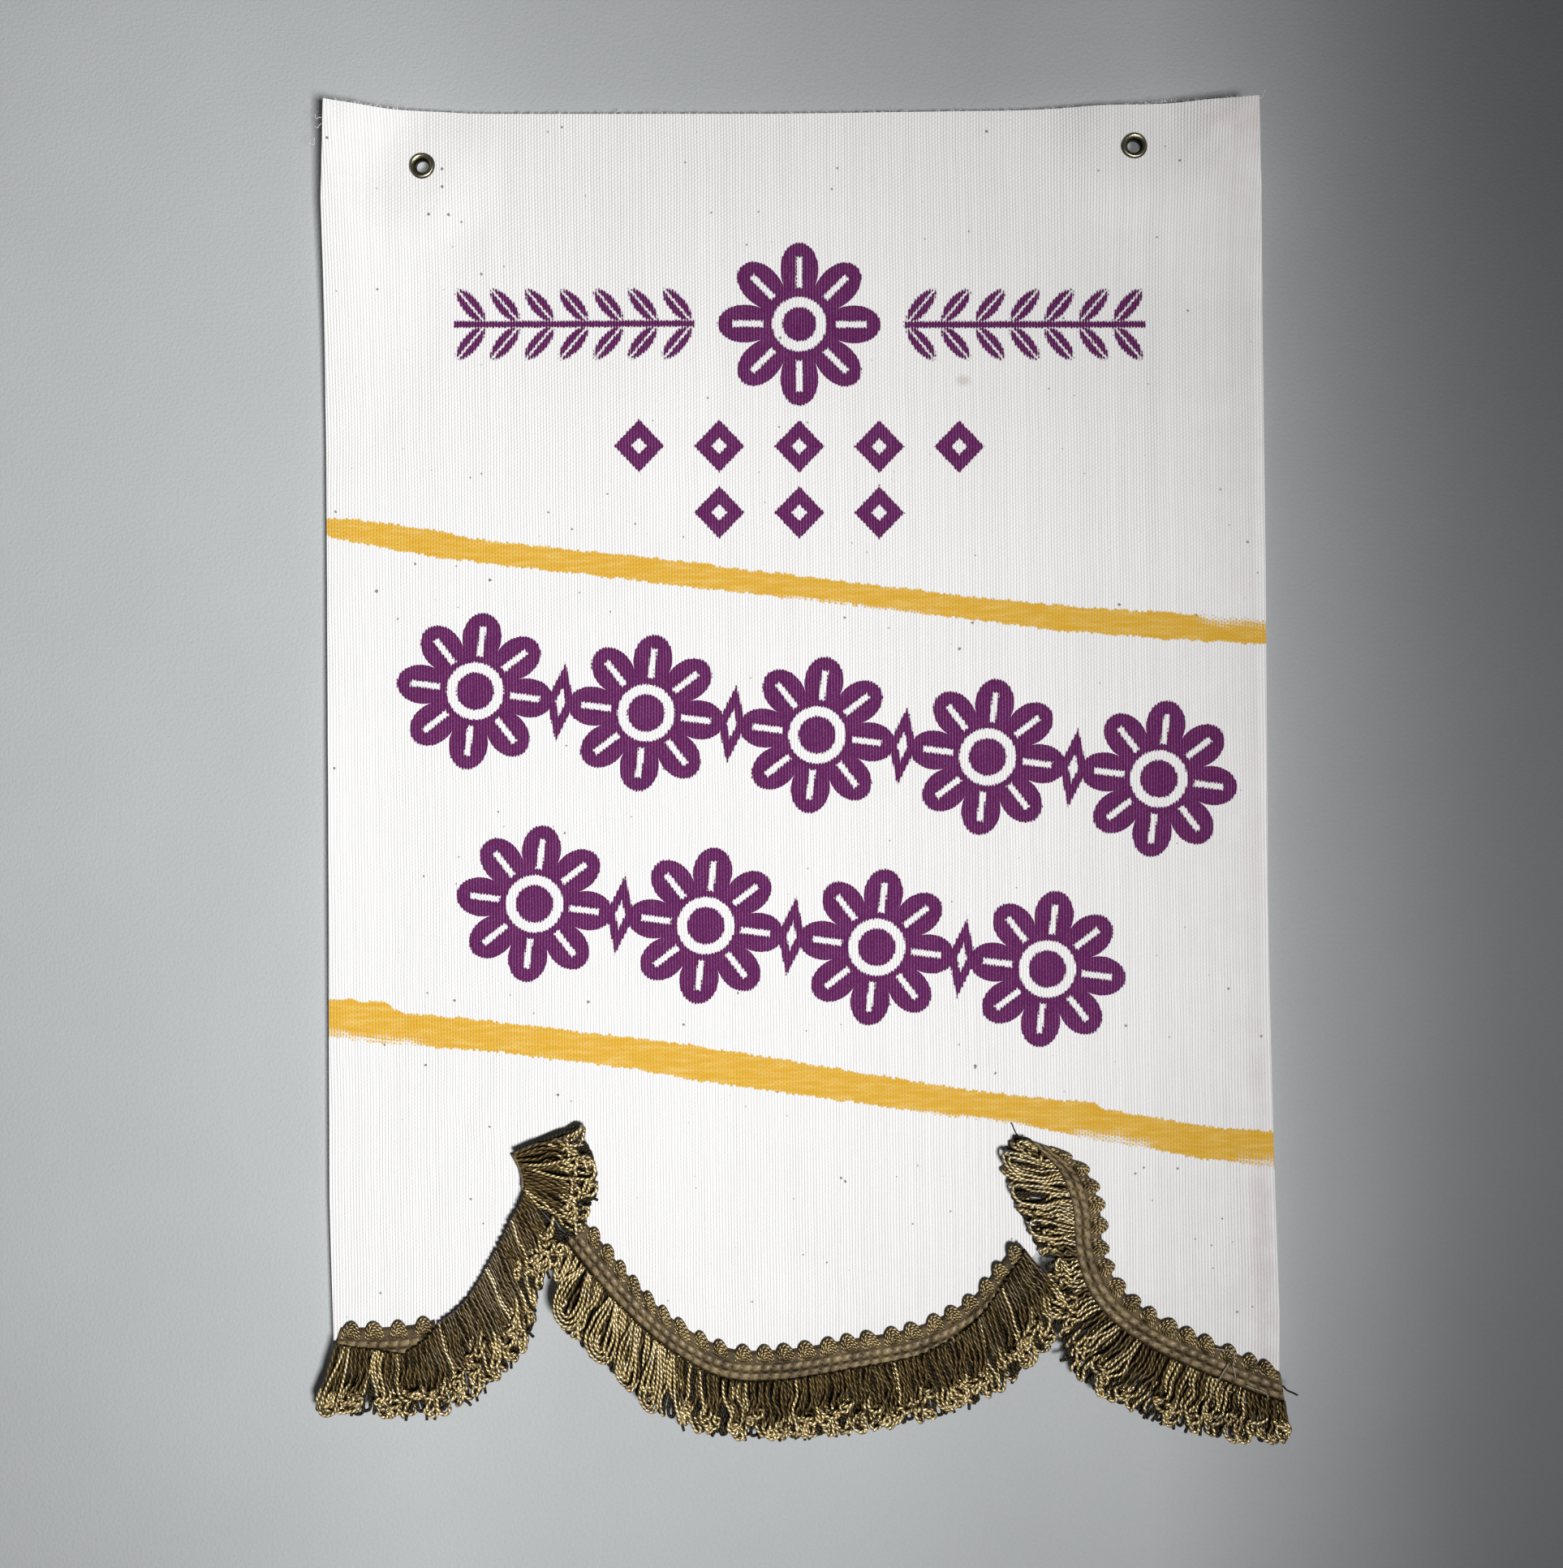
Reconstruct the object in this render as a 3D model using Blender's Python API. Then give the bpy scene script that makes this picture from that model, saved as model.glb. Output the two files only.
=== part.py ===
"""Fringed canvas banner that hangs by two eyelets, in metres with +Z up.

The origin is the middle of the banner's top edge, on the middle plane of its
canvas. The painted face looks along -Y, and the back along +Y.
Sizes below are in millimetres: x runs to the right, down is the distance below
the top edge, and forward is the distance from the middle plane towards -Y.
"""

import math
from typing import NamedTuple

import bmesh
import bpy
import numpy as np
from mathutils import Matrix

MM = 0.001


class Place(NamedTuple):
    """A place on the banner's face."""

    x: float
    down: float


class Curl(NamedTuple):
    """A corner or edge that stands forward, fading out over a quarter or half ellipse."""

    x: float
    down: float
    reach_x: float
    reach_down: float
    rise: float
    power: float


class Swell(NamedTuple):
    """A long soft fold, with its lean in degrees from upright."""

    x: float
    down: float
    lean: float
    half_wide: float
    half_long: float
    rise: float


class Section(NamedTuple):
    """A section across a fringe: its beaded edge, its loops' tips, and how far forward each lies."""

    edge_x: float
    edge_down: float
    tip_x: float
    tip_down: float
    edge_off: float
    tip_off: float


class RimPlace(NamedTuple):
    """A place on an eyelet's turned outline, its height measured forward."""

    radius: float
    height: float


# Canvas
CANVAS_THICK = 1.2
HEM_WIDE = 6.9
HEM_THICK = 1.0
HEADING_DEEP = 32.0
FIT_GAP = 0.3
CLOTH_ROWS = 14
SCALLOP_COLUMNS = (11, 14, 10)
CANVAS_SMOOTH = 40

TOP_EDGE = [
    Place(-148.5, 0.0),
    Place(-4.0, 0.0),
    Place(49.0, -0.8),
    Place(100.0, -1.4),
    Place(149.0, -1.2),
]
LEFT_EDGE = [
    Place(-148.5, 0.0),
    Place(-150.5, 30.0),
    Place(-150.7, 95.0),
    Place(-149.6, 221.0),
    Place(-149.6, 353.0),
    Place(-148.2, 403.0),
]
RIGHT_EDGE = [
    Place(149.0, -1.2),
    Place(151.6, 27.0),
    Place(153.2, 56.0),
    Place(154.4, 147.0),
    Place(155.2, 258.0),
    Place(156.6, 351.0),
    Place(157.8, 416.0),
]
LEFT_SCALLOP = [
    Place(-148.2, 402.3),
    Place(-130.0, 402.8),
    Place(-113.8, 400.0),
    Place(-102.3, 391.8),
    Place(-93.6, 378.7),
    Place(-87.8, 366.8),
    Place(-77.5, 353.0),
]
CENTRE_SCALLOP = [
    Place(-77.5, 353.0),
    Place(-65.3, 373.8),
    Place(-53.2, 387.5),
    Place(-38.6, 400.3),
    Place(-21.7, 409.3),
    Place(-3.3, 410.3),
    Place(21.0, 406.8),
    Place(43.0, 402.6),
    Place(59.8, 394.1),
    Place(70.7, 382.5),
    Place(85.5, 364.0),
]
RIGHT_SCALLOP = [
    Place(85.5, 364.0),
    Place(96.6, 382.7),
    Place(106.8, 393.2),
    Place(119.8, 401.3),
    Place(137.9, 408.8),
    Place(157.8, 415.7),
]

# Curled corners and edges, and the soft folds between them
CURLS = [
    Curl(-149.0, 0.0, 45.0, 112.0, 14.0, 1.6),
    Curl(149.0, -1.0, 78.0, 64.0, 13.0, 1.4),
    Curl(-150.5, 220.0, 26.0, 230.0, 2.4, 1.5),
    Curl(158.0, 388.0, 44.0, 130.0, 6.0, 1.6),
]
SWELLS = [
    Swell(119.8, 107.0, 0.0, 4.0, 72.0, 0.6),
    Swell(-38.0, 80.0, 32.0, 34.0, 60.0, 1.3),
    Swell(62.0, 240.0, -8.0, 50.0, 120.0, -1.4),
    Swell(-72.0, 290.0, 12.0, 44.0, 110.0, 1.2),
]

# Eyelets
LEFT_EYELET = Place(-119.2, 17.7)
RIGHT_EYELET = Place(110.8, 12.0)
EYELET_SIDES = 20
BARREL_RADIUS = 2.5
BORE_RADIUS = 2.0
FLANGE_RADIUS = 4.1
BACK_RADIUS = 4.0
BACK_THICK = 0.4
FLAT_HALF = 5.0
FLAT_RADIUS = 8.0
FLAT_FADE = 8.0
CUTTER_LONG = 40.0
METAL_SMOOTH = 35
ROLLED_RIM = [
    RimPlace(2.1, 0.4),
    RimPlace(2.55, 1.2),
    RimPlace(3.05, 1.75),
    RimPlace(3.5, 1.95),
    RimPlace(3.95, 1.75),
    RimPlace(4.2, 1.3),
]

# Fringe
BAND_WIDE = 10.0
BAND_THICK = 2.2
BEAD_PITCH = 6.9
BEAD_PROUD = 1.8
BEAD_WIDE = 3.0
BEAD_RISE = 0.5
BEAD_LIFT = 0.2
LOOP_PITCH = 2.15
LOOP_GAP = 0.28
LOOP_RINGS = 2
LOOP_THICK = 1.7
LOOP_END_THICK = 2.3
LOOP_SWAY = 0.09
SWAY_PER_MM = 1.9
LOOP_UNEVEN = 1.1
UNEVEN_PER_LOOP = 2.4

LEFT_FRINGE = [
    Section(-145.5, 394.0, -154.0, 421.0, 0.9, 0.9),
    Section(-130.0, 394.0, -131.0, 423.0, 0.9, 0.9),
    Section(-115.5, 391.5, -109.5, 421.0, 0.9, 0.9),
    Section(-105.0, 383.5, -94.5, 410.5, 0.9, 1.1),
    Section(-97.0, 370.5, -83.5, 397.0, 1.2, 1.5),
    Section(-90.5, 358.0, -81.0, 381.5, 2.0, 3.2),
    Section(-86.5, 350.0, -72.0, 369.0, 3.0, 4.7),
    Section(-86.0, 344.5, -63.0, 355.0, 3.0, 4.5),
    Section(-87.5, 340.0, -62.0, 340.5, 3.0, 4.0),
    Section(-89.5, 336.5, -67.0, 326.5, 2.4, 3.0),
]
CENTRE_FRINGE = [
    Section(-70.0, 355.5, -75.0, 369.5, 0.9, 0.9),
    Section(-61.5, 366.0, -74.5, 392.0, 0.9, 0.9),
    Section(-51.0, 379.0, -59.0, 407.5, 0.9, 0.9),
    Section(-38.0, 391.5, -41.0, 423.0, 0.9, 0.9),
    Section(-21.5, 400.5, -22.5, 429.0, 0.9, 0.9),
    Section(-3.5, 401.5, -3.0, 430.0, 0.9, 0.9),
    Section(20.0, 398.0, 23.0, 428.0, 0.9, 0.9),
    Section(41.0, 394.0, 47.5, 423.0, 0.9, 1.0),
    Section(58.0, 385.5, 65.5, 415.0, 1.0, 2.2),
    Section(68.0, 374.0, 79.5, 404.0, 2.4, 4.0),
    Section(74.0, 366.0, 91.0, 388.0, 4.2, 5.0),
]
RIGHT_FRINGE = [
    Section(87.0, 336.5, 73.5, 332.0, 0.9, 1.8),
    Section(96.0, 343.5, 69.0, 341.0, 0.9, 1.5),
    Section(100.5, 356.0, 71.5, 352.0, 0.9, 1.1),
    Section(101.5, 369.0, 79.0, 366.0, 0.9, 0.9),
    Section(106.0, 379.5, 84.5, 390.0, 0.9, 0.9),
    Section(114.0, 387.5, 91.5, 409.0, 0.9, 0.9),
    Section(125.0, 394.0, 109.0, 420.0, 0.9, 0.9),
    Section(141.0, 400.5, 132.0, 428.0, 0.9, 0.9),
    Section(157.5, 407.0, 161.0, 430.0, 0.9, 0.9),
]


def finish(name, colour, roughness, metallic=0.0):
    """A plain material in one colour."""
    material = bpy.data.materials.new(name)
    material.use_nodes = True
    shader = material.node_tree.nodes["Principled BSDF"]
    shader.inputs["Base Color"].default_value = (*colour, 1.0)
    shader.inputs["Roughness"].default_value = roughness
    shader.inputs["Metallic"].default_value = metallic
    return material


def add_object(name, bm, material, smooth_angle=None):
    """Turns a bmesh into a named object with its faces pointing out."""
    bmesh.ops.recalc_face_normals(bm, faces=bm.faces)
    mesh = bpy.data.meshes.new(name)
    bm.to_mesh(mesh)
    bm.free()
    if smooth_angle is not None:
        mesh.shade_smooth()
        mesh.set_sharp_from_angle(angle=math.radians(smooth_angle))
    mesh.materials.append(material)
    thing = bpy.data.objects.new(name, mesh)
    bpy.context.scene.collection.objects.link(thing)
    return thing


def through(rows, position):
    """The row at a position counted in rows, on a smooth curve through them all."""
    start = min(int(position), len(rows) - 2)
    part = position - start
    before = np.array(rows[max(start - 1, 0)])
    here = np.array(rows[start])
    following = np.array(rows[start + 1])
    after = np.array(rows[min(start + 2, len(rows) - 1)])
    slope = following - before
    bend = 2.0 * before - 5.0 * here + 4.0 * following - after
    twist = 3.0 * here - before - 3.0 * following + after
    return 0.5 * (2.0 * here + slope * part + bend * part**2 + twist * part**3)


def eased(value):
    """A soft step from 0 to 1."""
    value = min(max(value, 0.0), 1.0)
    return value * value * (3.0 - 2.0 * value)


def free_forward(x, down):
    """How far the canvas stands forward from its curls and swells alone."""
    total = 0.0
    for curl in CURLS:
        away = math.hypot((x - curl.x) / curl.reach_x, (down - curl.down) / curl.reach_down)
        total += curl.rise * max(1.0 - away, 0.0) ** curl.power
    for swell in SWELLS:
        lean = math.radians(swell.lean)
        across = (x - swell.x) * math.cos(lean) + (down - swell.down) * math.sin(lean)
        along = (down - swell.down) * math.cos(lean) - (x - swell.x) * math.sin(lean)
        fade = (across / swell.half_wide) ** 2 + (along / swell.half_long) ** 2
        total += swell.rise * math.exp(-fade)
    return total


def forward(x, down):
    """How far the canvas stands forward, level where an eyelet clamps it."""
    total = free_forward(x, down)
    for eyelet in (LEFT_EYELET, RIGHT_EYELET):
        away = math.hypot(x - eyelet.x, down - eyelet.down)
        clamp = 1.0 - eased((away - FLAT_RADIUS) / FLAT_FADE)
        total += clamp * (free_forward(*eyelet) - total)
    return total


def on_banner(x, down, off):
    """The point in metres that lies off the canvas's middle plane at a place on its face."""
    return (x * MM, -(forward(x, down) + off) * MM, -down * MM)


def edge_x(edge, down):
    """The x of a side edge at a height."""
    return float(np.interp(down, [place.down for place in edge], [place.x for place in edge]))


def scalloped_edge():
    """The canvas's bottom edge: one column's end for each of its places, left to right."""
    ends = [Place(*LEFT_SCALLOP[0])]
    for scallop, columns in zip((LEFT_SCALLOP, CENTRE_SCALLOP, RIGHT_SCALLOP), SCALLOP_COLUMNS):
        for column in range(1, columns + 1):
            ends.append(Place(*through(scallop, column * (len(scallop) - 1) / columns)))
    return ends


def canvas_columns(extra=()):
    """Each column of the canvas, as its share of the width and its bottom end, and the hem's share."""
    ends = scalloped_edge()
    left = ends[0].x
    wide = ends[-1].x - left
    shares = [(end.x - left) / wide for end in ends]
    downs = [end.down for end in ends]
    hem = HEM_WIDE / wide
    # The column beside each edge is left out, because it would lie too close to the hem's own line
    every = sorted(shares[:1] + shares[2:-2] + shares[-1:] + [hem, 1.0 - hem, *extra])
    return [(share, float(np.interp(share, shares, downs))) for share in every], hem


def canvas(name, columns, hem, rows_of, material):
    """One sheet of canvas, with side hems turned to its back.

    rows_of gives the heights of a column's points from its share of the width
    and its end at the bottom.
    """
    bm = bmesh.new()
    hem_mark = bm.faces.layers.int.new("hem")
    grid = []
    for share, end in columns:
        line = []
        for down in rows_of(share, end):
            left = edge_x(LEFT_EDGE, down)
            x = left + share * (edge_x(RIGHT_EDGE, down) - left)
            line.append(bm.verts.new(on_banner(x, down, CANVAS_THICK / 2)))
        grid.append(line)
    for column, (near, far) in enumerate(zip(grid, grid[1:])):
        middle = (columns[column][0] + columns[column + 1][0]) / 2
        for row in range(len(near) - 1):
            face = bm.faces.new((near[row], near[row + 1], far[row + 1], far[row]))
            face[hem_mark] = int(middle < hem or middle > 1.0 - hem)
    pull_back(bm, bm.faces[:], CANVAS_THICK)
    bmesh.ops.recalc_face_normals(bm, faces=bm.faces)
    hems = [face for face in bm.faces if face[hem_mark] == 1 and faces_back(face)]
    pull_back(bm, hems, HEM_THICK)
    bmesh.ops.delete(bm, geom=hems, context="FACES")
    return add_object(name, bm, material, CANVAS_SMOOTH)


def heading_strip(material):
    """The canvas's top, with a flat patch and a hole for each eyelet."""
    eyelets = (LEFT_EYELET, RIGHT_EYELET)
    patch = (-FLAT_HALF, FLAT_HALF)
    wide = RIGHT_EDGE[0].x - LEFT_EDGE[0].x
    extra = [(eyelet.x + side - LEFT_EDGE[0].x) / wide for eyelet in eyelets for side in patch]
    downs = sorted(eyelet.down + side for eyelet in eyelets for side in patch)
    columns, hem = canvas_columns(extra)
    strip = canvas(
        "heading_strip",
        columns,
        hem,
        lambda share, end: [top_edge(share), *downs, HEADING_DEEP],
        material,
    )
    for eyelet in eyelets:
        punch(strip, eyelet)


def banner_cloth(material):
    """The rest of the canvas, down to its scalloped edge."""
    columns, hem = canvas_columns()
    canvas(
        "banner_cloth",
        columns,
        hem,
        lambda share, end: np.linspace(HEADING_DEEP + FIT_GAP, end, CLOTH_ROWS + 1),
        material,
    )


def faces_back(face):
    """Whether a face is part of the canvas's back, and not of its front or its cut edges."""
    face.normal_update()
    return face.normal.y > 0.5


def pull_back(bm, faces, thick):
    """Pulls a copy of some faces towards +Y, with walls round it."""
    pulled = bmesh.ops.extrude_face_region(bm, geom=faces)
    moved = [item for item in pulled["geom"] if isinstance(item, bmesh.types.BMVert)]
    bmesh.ops.translate(bm, verts=moved, vec=(0.0, thick * MM, 0.0))


def top_edge(share):
    """The canvas's top edge at a share of its width."""
    x = TOP_EDGE[0].x + share * (TOP_EDGE[-1].x - TOP_EDGE[0].x)
    return float(np.interp(x, [place.x for place in TOP_EDGE], [place.down for place in TOP_EDGE]))


def punch(sheet, eyelet):
    """Cuts the round hole that an eyelet's barrel passes through."""
    bm = bmesh.new()
    radius = (BARREL_RADIUS + FIT_GAP) * MM
    turn = Matrix.Rotation(math.radians(90), 4, "X")
    bmesh.ops.create_cone(
        bm,
        cap_ends=True,
        segments=EYELET_SIDES,
        radius1=radius,
        radius2=radius,
        depth=CUTTER_LONG * MM,
        matrix=turn,
    )
    cutter = add_object(f"{sheet.name}_cutter", bm, sheet.data.materials[0])
    cutter.location = on_banner(eyelet.x, eyelet.down, 0.0)
    cutter.hide_render = True
    cutter.display_type = "WIRE"
    hole = sheet.modifiers.new("hole", "BOOLEAN")
    hole.operation = "DIFFERENCE"
    hole.solver = "EXACT"
    hole.object = cutter


def eyelet_ring(name, place, material):
    """A rolled eyelet: its front flange, its barrel and the flat ring clenched at the back."""
    under = CANVAS_THICK / 2 + FIT_GAP
    back = -under
    profile = [
        (BORE_RADIUS, back - BACK_THICK),
        (BORE_RADIUS, back),
        *ROLLED_RIM,
        (FLANGE_RADIUS, under),
        (BARREL_RADIUS, under),
        (BARREL_RADIUS, back),
        (BACK_RADIUS, back),
        (BACK_RADIUS, back - BACK_THICK),
    ]
    bm = bmesh.new()
    ring = [bm.verts.new((radius * MM, -height * MM, 0.0)) for radius, height in profile]
    edges = [bm.edges.new((ring[at], ring[(at + 1) % len(ring)])) for at in range(len(ring))]
    bmesh.ops.spin(
        bm,
        geom=ring + edges,
        cent=(0.0, 0.0, 0.0),
        axis=(0.0, 1.0, 0.0),
        angle=math.tau,
        steps=EYELET_SIDES,
    )
    bmesh.ops.remove_doubles(bm, verts=bm.verts, dist=0.001 * MM)
    eyelet = add_object(name, bm, material, METAL_SMOOTH)
    eyelet.location = on_banner(place.x, place.down, 0.0)
    return eyelet


def fringe_lengths(sections):
    """The length run along the middle of a fringe, at each of its sections."""
    lengths = [0.0]
    for one, two in zip(sections, sections[1:]):
        edge = math.hypot(two.edge_x - one.edge_x, two.edge_down - one.edge_down)
        tips = math.hypot(two.tip_x - one.tip_x, two.tip_down - one.tip_down)
        lengths.append(lengths[-1] + (edge + tips) / 2)
    return lengths


def section_at(sections, lengths, share):
    """The section at a share of a fringe's length."""
    position = np.interp(share * lengths[-1], lengths, range(len(sections)))
    return Section(*through(sections, float(position)))


def in_fringe(section, reach, off):
    """The point at a reach from the beaded edge towards the tips."""
    run_x = section.tip_x - section.edge_x
    run_down = section.tip_down - section.edge_down
    part = reach / math.hypot(run_x, run_down)
    return on_banner(section.edge_x + run_x * part, section.edge_down + run_down * part, off)


def band_ring(bm, section, run):
    """The four long edges of the woven band and the crest of its beads, at one section."""
    bead = math.sqrt(1.0 - (2.0 * (run / BEAD_PITCH % 1.0) - 1.0) ** 2)
    back = section.edge_off
    front = back + BAND_THICK
    places = [
        (-BEAD_PROUD * bead, back + BEAD_LIFT),
        (-BEAD_PROUD * bead, front - BEAD_RISE),
        (BEAD_WIDE, front + BEAD_RISE * bead),
        (BAND_WIDE, front),
        (BAND_WIDE, back),
    ]
    return [bm.verts.new(in_fringe(section, reach, off)) for reach, off in places]


def pull_loop(bm, root, sections, lengths, middle, half, length):
    """Draws one lock of loops out of its root on the band, ring by ring, to its blunt end."""
    near, far, pitch_share = middle - half, middle + half, 1.0 / (2.0 * half)
    face = root
    for ring in range(1, LOOP_RINGS + 1):
        part = ring / LOOP_RINGS
        turn = math.sin(middle * lengths[-1] * SWAY_PER_MM)
        sway = LOOP_SWAY * turn * part / pitch_share
        pulled = bmesh.ops.extrude_discrete_faces(bm, faces=[face])
        face = pulled["faces"][0]
        thick = LOOP_THICK + (LOOP_END_THICK - LOOP_THICK) * part
        for vert, (share, lifted) in zip(face.verts, ((near, 1), (far, 1), (far, 0), (near, 0))):
            section = section_at(sections, lengths, share + sway)
            off = section.edge_off + (section.tip_off - section.edge_off) * part + lifted * thick
            reach = BAND_WIDE + (length - BAND_WIDE) * part
            vert.co = in_fringe(section, reach, off)


def fringe(name, sections, material):
    """A length of loop fringe: a woven band with a beaded edge, and the loops that hang from it."""
    lengths = fringe_lengths(sections)
    count = round(lengths[-1] / LOOP_PITCH)
    half = (1.0 - LOOP_GAP) / 2 / count
    middles = [(loop + 0.5) / count for loop in range(count)]
    stations = [share for middle in middles for share in (middle - half, middle + half)]
    bm = bmesh.new()
    rings = []
    run = 0.0
    last = None
    for share in stations:
        section = section_at(sections, lengths, share)
        if last is not None:
            run += math.hypot(section.edge_x - last.edge_x, section.edge_down - last.edge_down)
        rings.append(band_ring(bm, section, run))
        last = section
    bm.faces.new(rings[0])
    bm.faces.new(rings[-1])
    roots = []
    for number, (near, far) in enumerate(zip(rings, rings[1:])):
        for side in range(len(near)):
            other = (side + 1) % len(near)
            corners = (near[side], far[side], far[other], near[other])
            face = bm.faces.new(corners)
            if side == 3 and number % 2 == 0:
                roots.append(face)
    for root, middle in zip(roots, middles):
        section = section_at(sections, lengths, middle)
        plain = math.hypot(section.tip_x - section.edge_x, section.tip_down - section.edge_down)
        length = plain - LOOP_UNEVEN * (0.5 + 0.5 * math.sin(middle * count * UNEVEN_PER_LOOP))
        pull_loop(bm, root, sections, lengths, middle, half, length)
    return add_object(name, bm, material)


def main():
    """Builds the banner, piece by piece."""
    for thing in list(bpy.data.objects):
        bpy.data.objects.remove(thing, do_unlink=True)
    canvas_finish = finish("canvas", (0.80, 0.79, 0.77), 0.85)
    metal_finish = finish("eyelet_metal", (0.35, 0.30, 0.20), 0.35, 1.0)
    fringe_finish = finish("fringe", (0.20, 0.15, 0.07), 0.45)

    heading_strip(canvas_finish)
    banner_cloth(canvas_finish)
    eyelet_ring("eyelet_left", LEFT_EYELET, metal_finish)
    eyelet_ring("eyelet_right", RIGHT_EYELET, metal_finish)
    fringe("fringe_left", LEFT_FRINGE, fringe_finish)
    fringe("fringe_centre", CENTRE_FRINGE, fringe_finish)
    fringe("fringe_right", RIGHT_FRINGE, fringe_finish)


main()
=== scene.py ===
"""Looks of a fringed canvas banner that hangs by two eyelets, in metres with +Z up.

The origin is the middle of the banner's top edge, on the middle plane of its
canvas, and the painted face looks along -Y. Sizes and places below are in
millimetres: x runs to the right, down is the distance below the top edge, and
forward is the distance from the middle plane towards -Y.
"""

from __future__ import annotations

import logging
import math
from dataclasses import dataclass
from enum import Enum
from typing import Callable, Mapping, NamedTuple, Sequence

import bmesh
import bpy
import numpy as np
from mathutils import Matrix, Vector


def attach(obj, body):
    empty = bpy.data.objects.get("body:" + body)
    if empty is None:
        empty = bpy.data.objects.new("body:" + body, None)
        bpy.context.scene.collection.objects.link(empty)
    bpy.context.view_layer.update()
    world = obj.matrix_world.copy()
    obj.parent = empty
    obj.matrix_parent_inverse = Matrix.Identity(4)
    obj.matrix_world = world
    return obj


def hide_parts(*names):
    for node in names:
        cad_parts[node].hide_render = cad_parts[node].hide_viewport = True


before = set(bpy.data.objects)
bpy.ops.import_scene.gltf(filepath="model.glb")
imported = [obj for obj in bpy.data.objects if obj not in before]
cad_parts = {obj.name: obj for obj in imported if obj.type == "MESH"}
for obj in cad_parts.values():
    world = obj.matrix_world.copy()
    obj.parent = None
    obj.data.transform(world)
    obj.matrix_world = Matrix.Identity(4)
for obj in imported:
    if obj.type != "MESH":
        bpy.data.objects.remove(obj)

MM = 0.001
LOG = logging.getLogger("banner")


class Slot(Enum):
    """The record's material slots."""

    CANVAS = "canvas"
    METAL = "eyelet_metal"
    FRINGE = "fringe"


class Side(Enum):
    """The two faces of the canvas."""

    PAINTED = "painted"
    PLAIN = "plain"


class Place(NamedTuple):
    """A place on the banner's face."""

    x: float
    down: float


class Curl(NamedTuple):
    """A corner or edge that stands forward, fading out over a quarter or half ellipse."""

    x: float
    down: float
    reach_x: float
    reach_down: float
    rise: float
    power: float


class Swell(NamedTuple):
    """A long soft fold, with its lean in degrees from upright."""

    x: float
    down: float
    lean: float
    half_wide: float
    half_long: float
    rise: float


class Section(NamedTuple):
    """A section across a fringe: its beaded edge, its loops' tips, and how far forward each lies."""

    edge_x: float
    edge_down: float
    tip_x: float
    tip_down: float
    edge_off: float
    tip_off: float


class BandRun(NamedTuple):
    """A stretch of woven band: where it starts and ends in sections, and the reaches of its sides."""

    start: float
    end: float
    near: float
    far: float
    beaded: bool


class Habit(NamedTuple):
    """How the loops hang at a place counted in sections.

    root is how far from the beaded edge they come out, shorter is how much the
    front ones fall short of the tips, open is how flat and wide they lie, and
    shine is the share of them that is painted bright all along, a painted highlight.
    """

    position: float
    root: float
    shorter: float
    open: float
    painted_highlight_share: float


class LoopRow(NamedTuple):
    """A row of loops: its pitch, its points to a leg, how many hang as one lock, and how they hang.

    short is its share of how much front loops fall short, and shine its share
    of loops painted bright, a painted highlight; a row with none is all near-black
    painted shade. The dressed row holds the nests and the cut ends too.
    """

    name: str
    pitch: float
    points: int
    lock: int
    off: float
    short: float
    gather: float
    sway: float
    curl: float
    painted_highlight_share: float
    dressed: bool = False


class Nest(NamedTuple):
    """Wide loops that lie inside each other: where they hang, their half width and their lean."""

    position: float
    half_wide: float
    lean: float


class Stain(NamedTuple):
    """A round stain that fades out at its reach, and its colour."""

    x: float
    down: float
    reach_x: float
    reach_down: float
    colour: Sequence[float]


class DryPatch(NamedTuple):
    """Where a brush ran dry: its middle, its half length, how far in it goes, and from which edge."""

    x: float
    half_long: float
    reach: float
    at_top: bool


class StripeEdge(NamedTuple):
    """The upper and lower edge of a painted stripe at one x."""

    x: float
    top: float
    bottom: float


class Thread(NamedTuple):
    """A loose thread: its two ends, how far it bows between them, its half thickness and its lift."""

    start_x: float
    start_down: float
    end_x: float
    end_down: float
    bow: float
    radius: float
    off: float


def table(kind: type, *rows: Sequence[float]) -> tuple:
    """A table of rows of one kind, from their numbers."""
    return tuple(kind(*row) for row in rows)


TOP_EDGE = table(Place, (-148.5, 0.0), (-4.0, 0.0), (49.0, -0.8), (100.0, -1.4), (149.0, -1.2))
LEFT_EDGE = table(
    Place,
    *((-148.5, 0.0), (-150.5, 30.0), (-150.7, 95.0), (-149.6, 221.0), (-149.6, 353.0), (-148.2, 403.0)),
)
RIGHT_EDGE = table(
    Place,
    *((149.0, -1.2), (151.6, 27.0), (153.2, 56.0), (154.4, 147.0), (155.2, 258.0), (156.6, 351.0)),
    (157.8, 416.0),
)
LEFT_SCALLOP = table(
    Place,
    *((-148.2, 402.3), (-130.0, 402.8), (-113.8, 400.0), (-102.3, 391.8), (-93.6, 378.7), (-87.8, 366.8)),
    (-77.5, 353.0),
)
CENTRE_SCALLOP = table(
    Place,
    *((-77.5, 353.0), (-65.3, 373.8), (-53.2, 387.5), (-38.6, 400.3), (-21.7, 409.3), (-3.3, 410.3)),
    *((21.0, 406.8), (43.0, 402.6), (59.8, 394.1), (70.7, 382.5), (85.5, 364.0)),
)
RIGHT_SCALLOP = table(
    Place,
    *((85.5, 364.0), (96.6, 382.7), (106.8, 393.2), (119.8, 401.3), (137.9, 408.8), (157.8, 415.7)),
)

LEFT_EYELET = Place(-119.2, 17.7)
RIGHT_EYELET = Place(110.8, 12.0)

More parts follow.
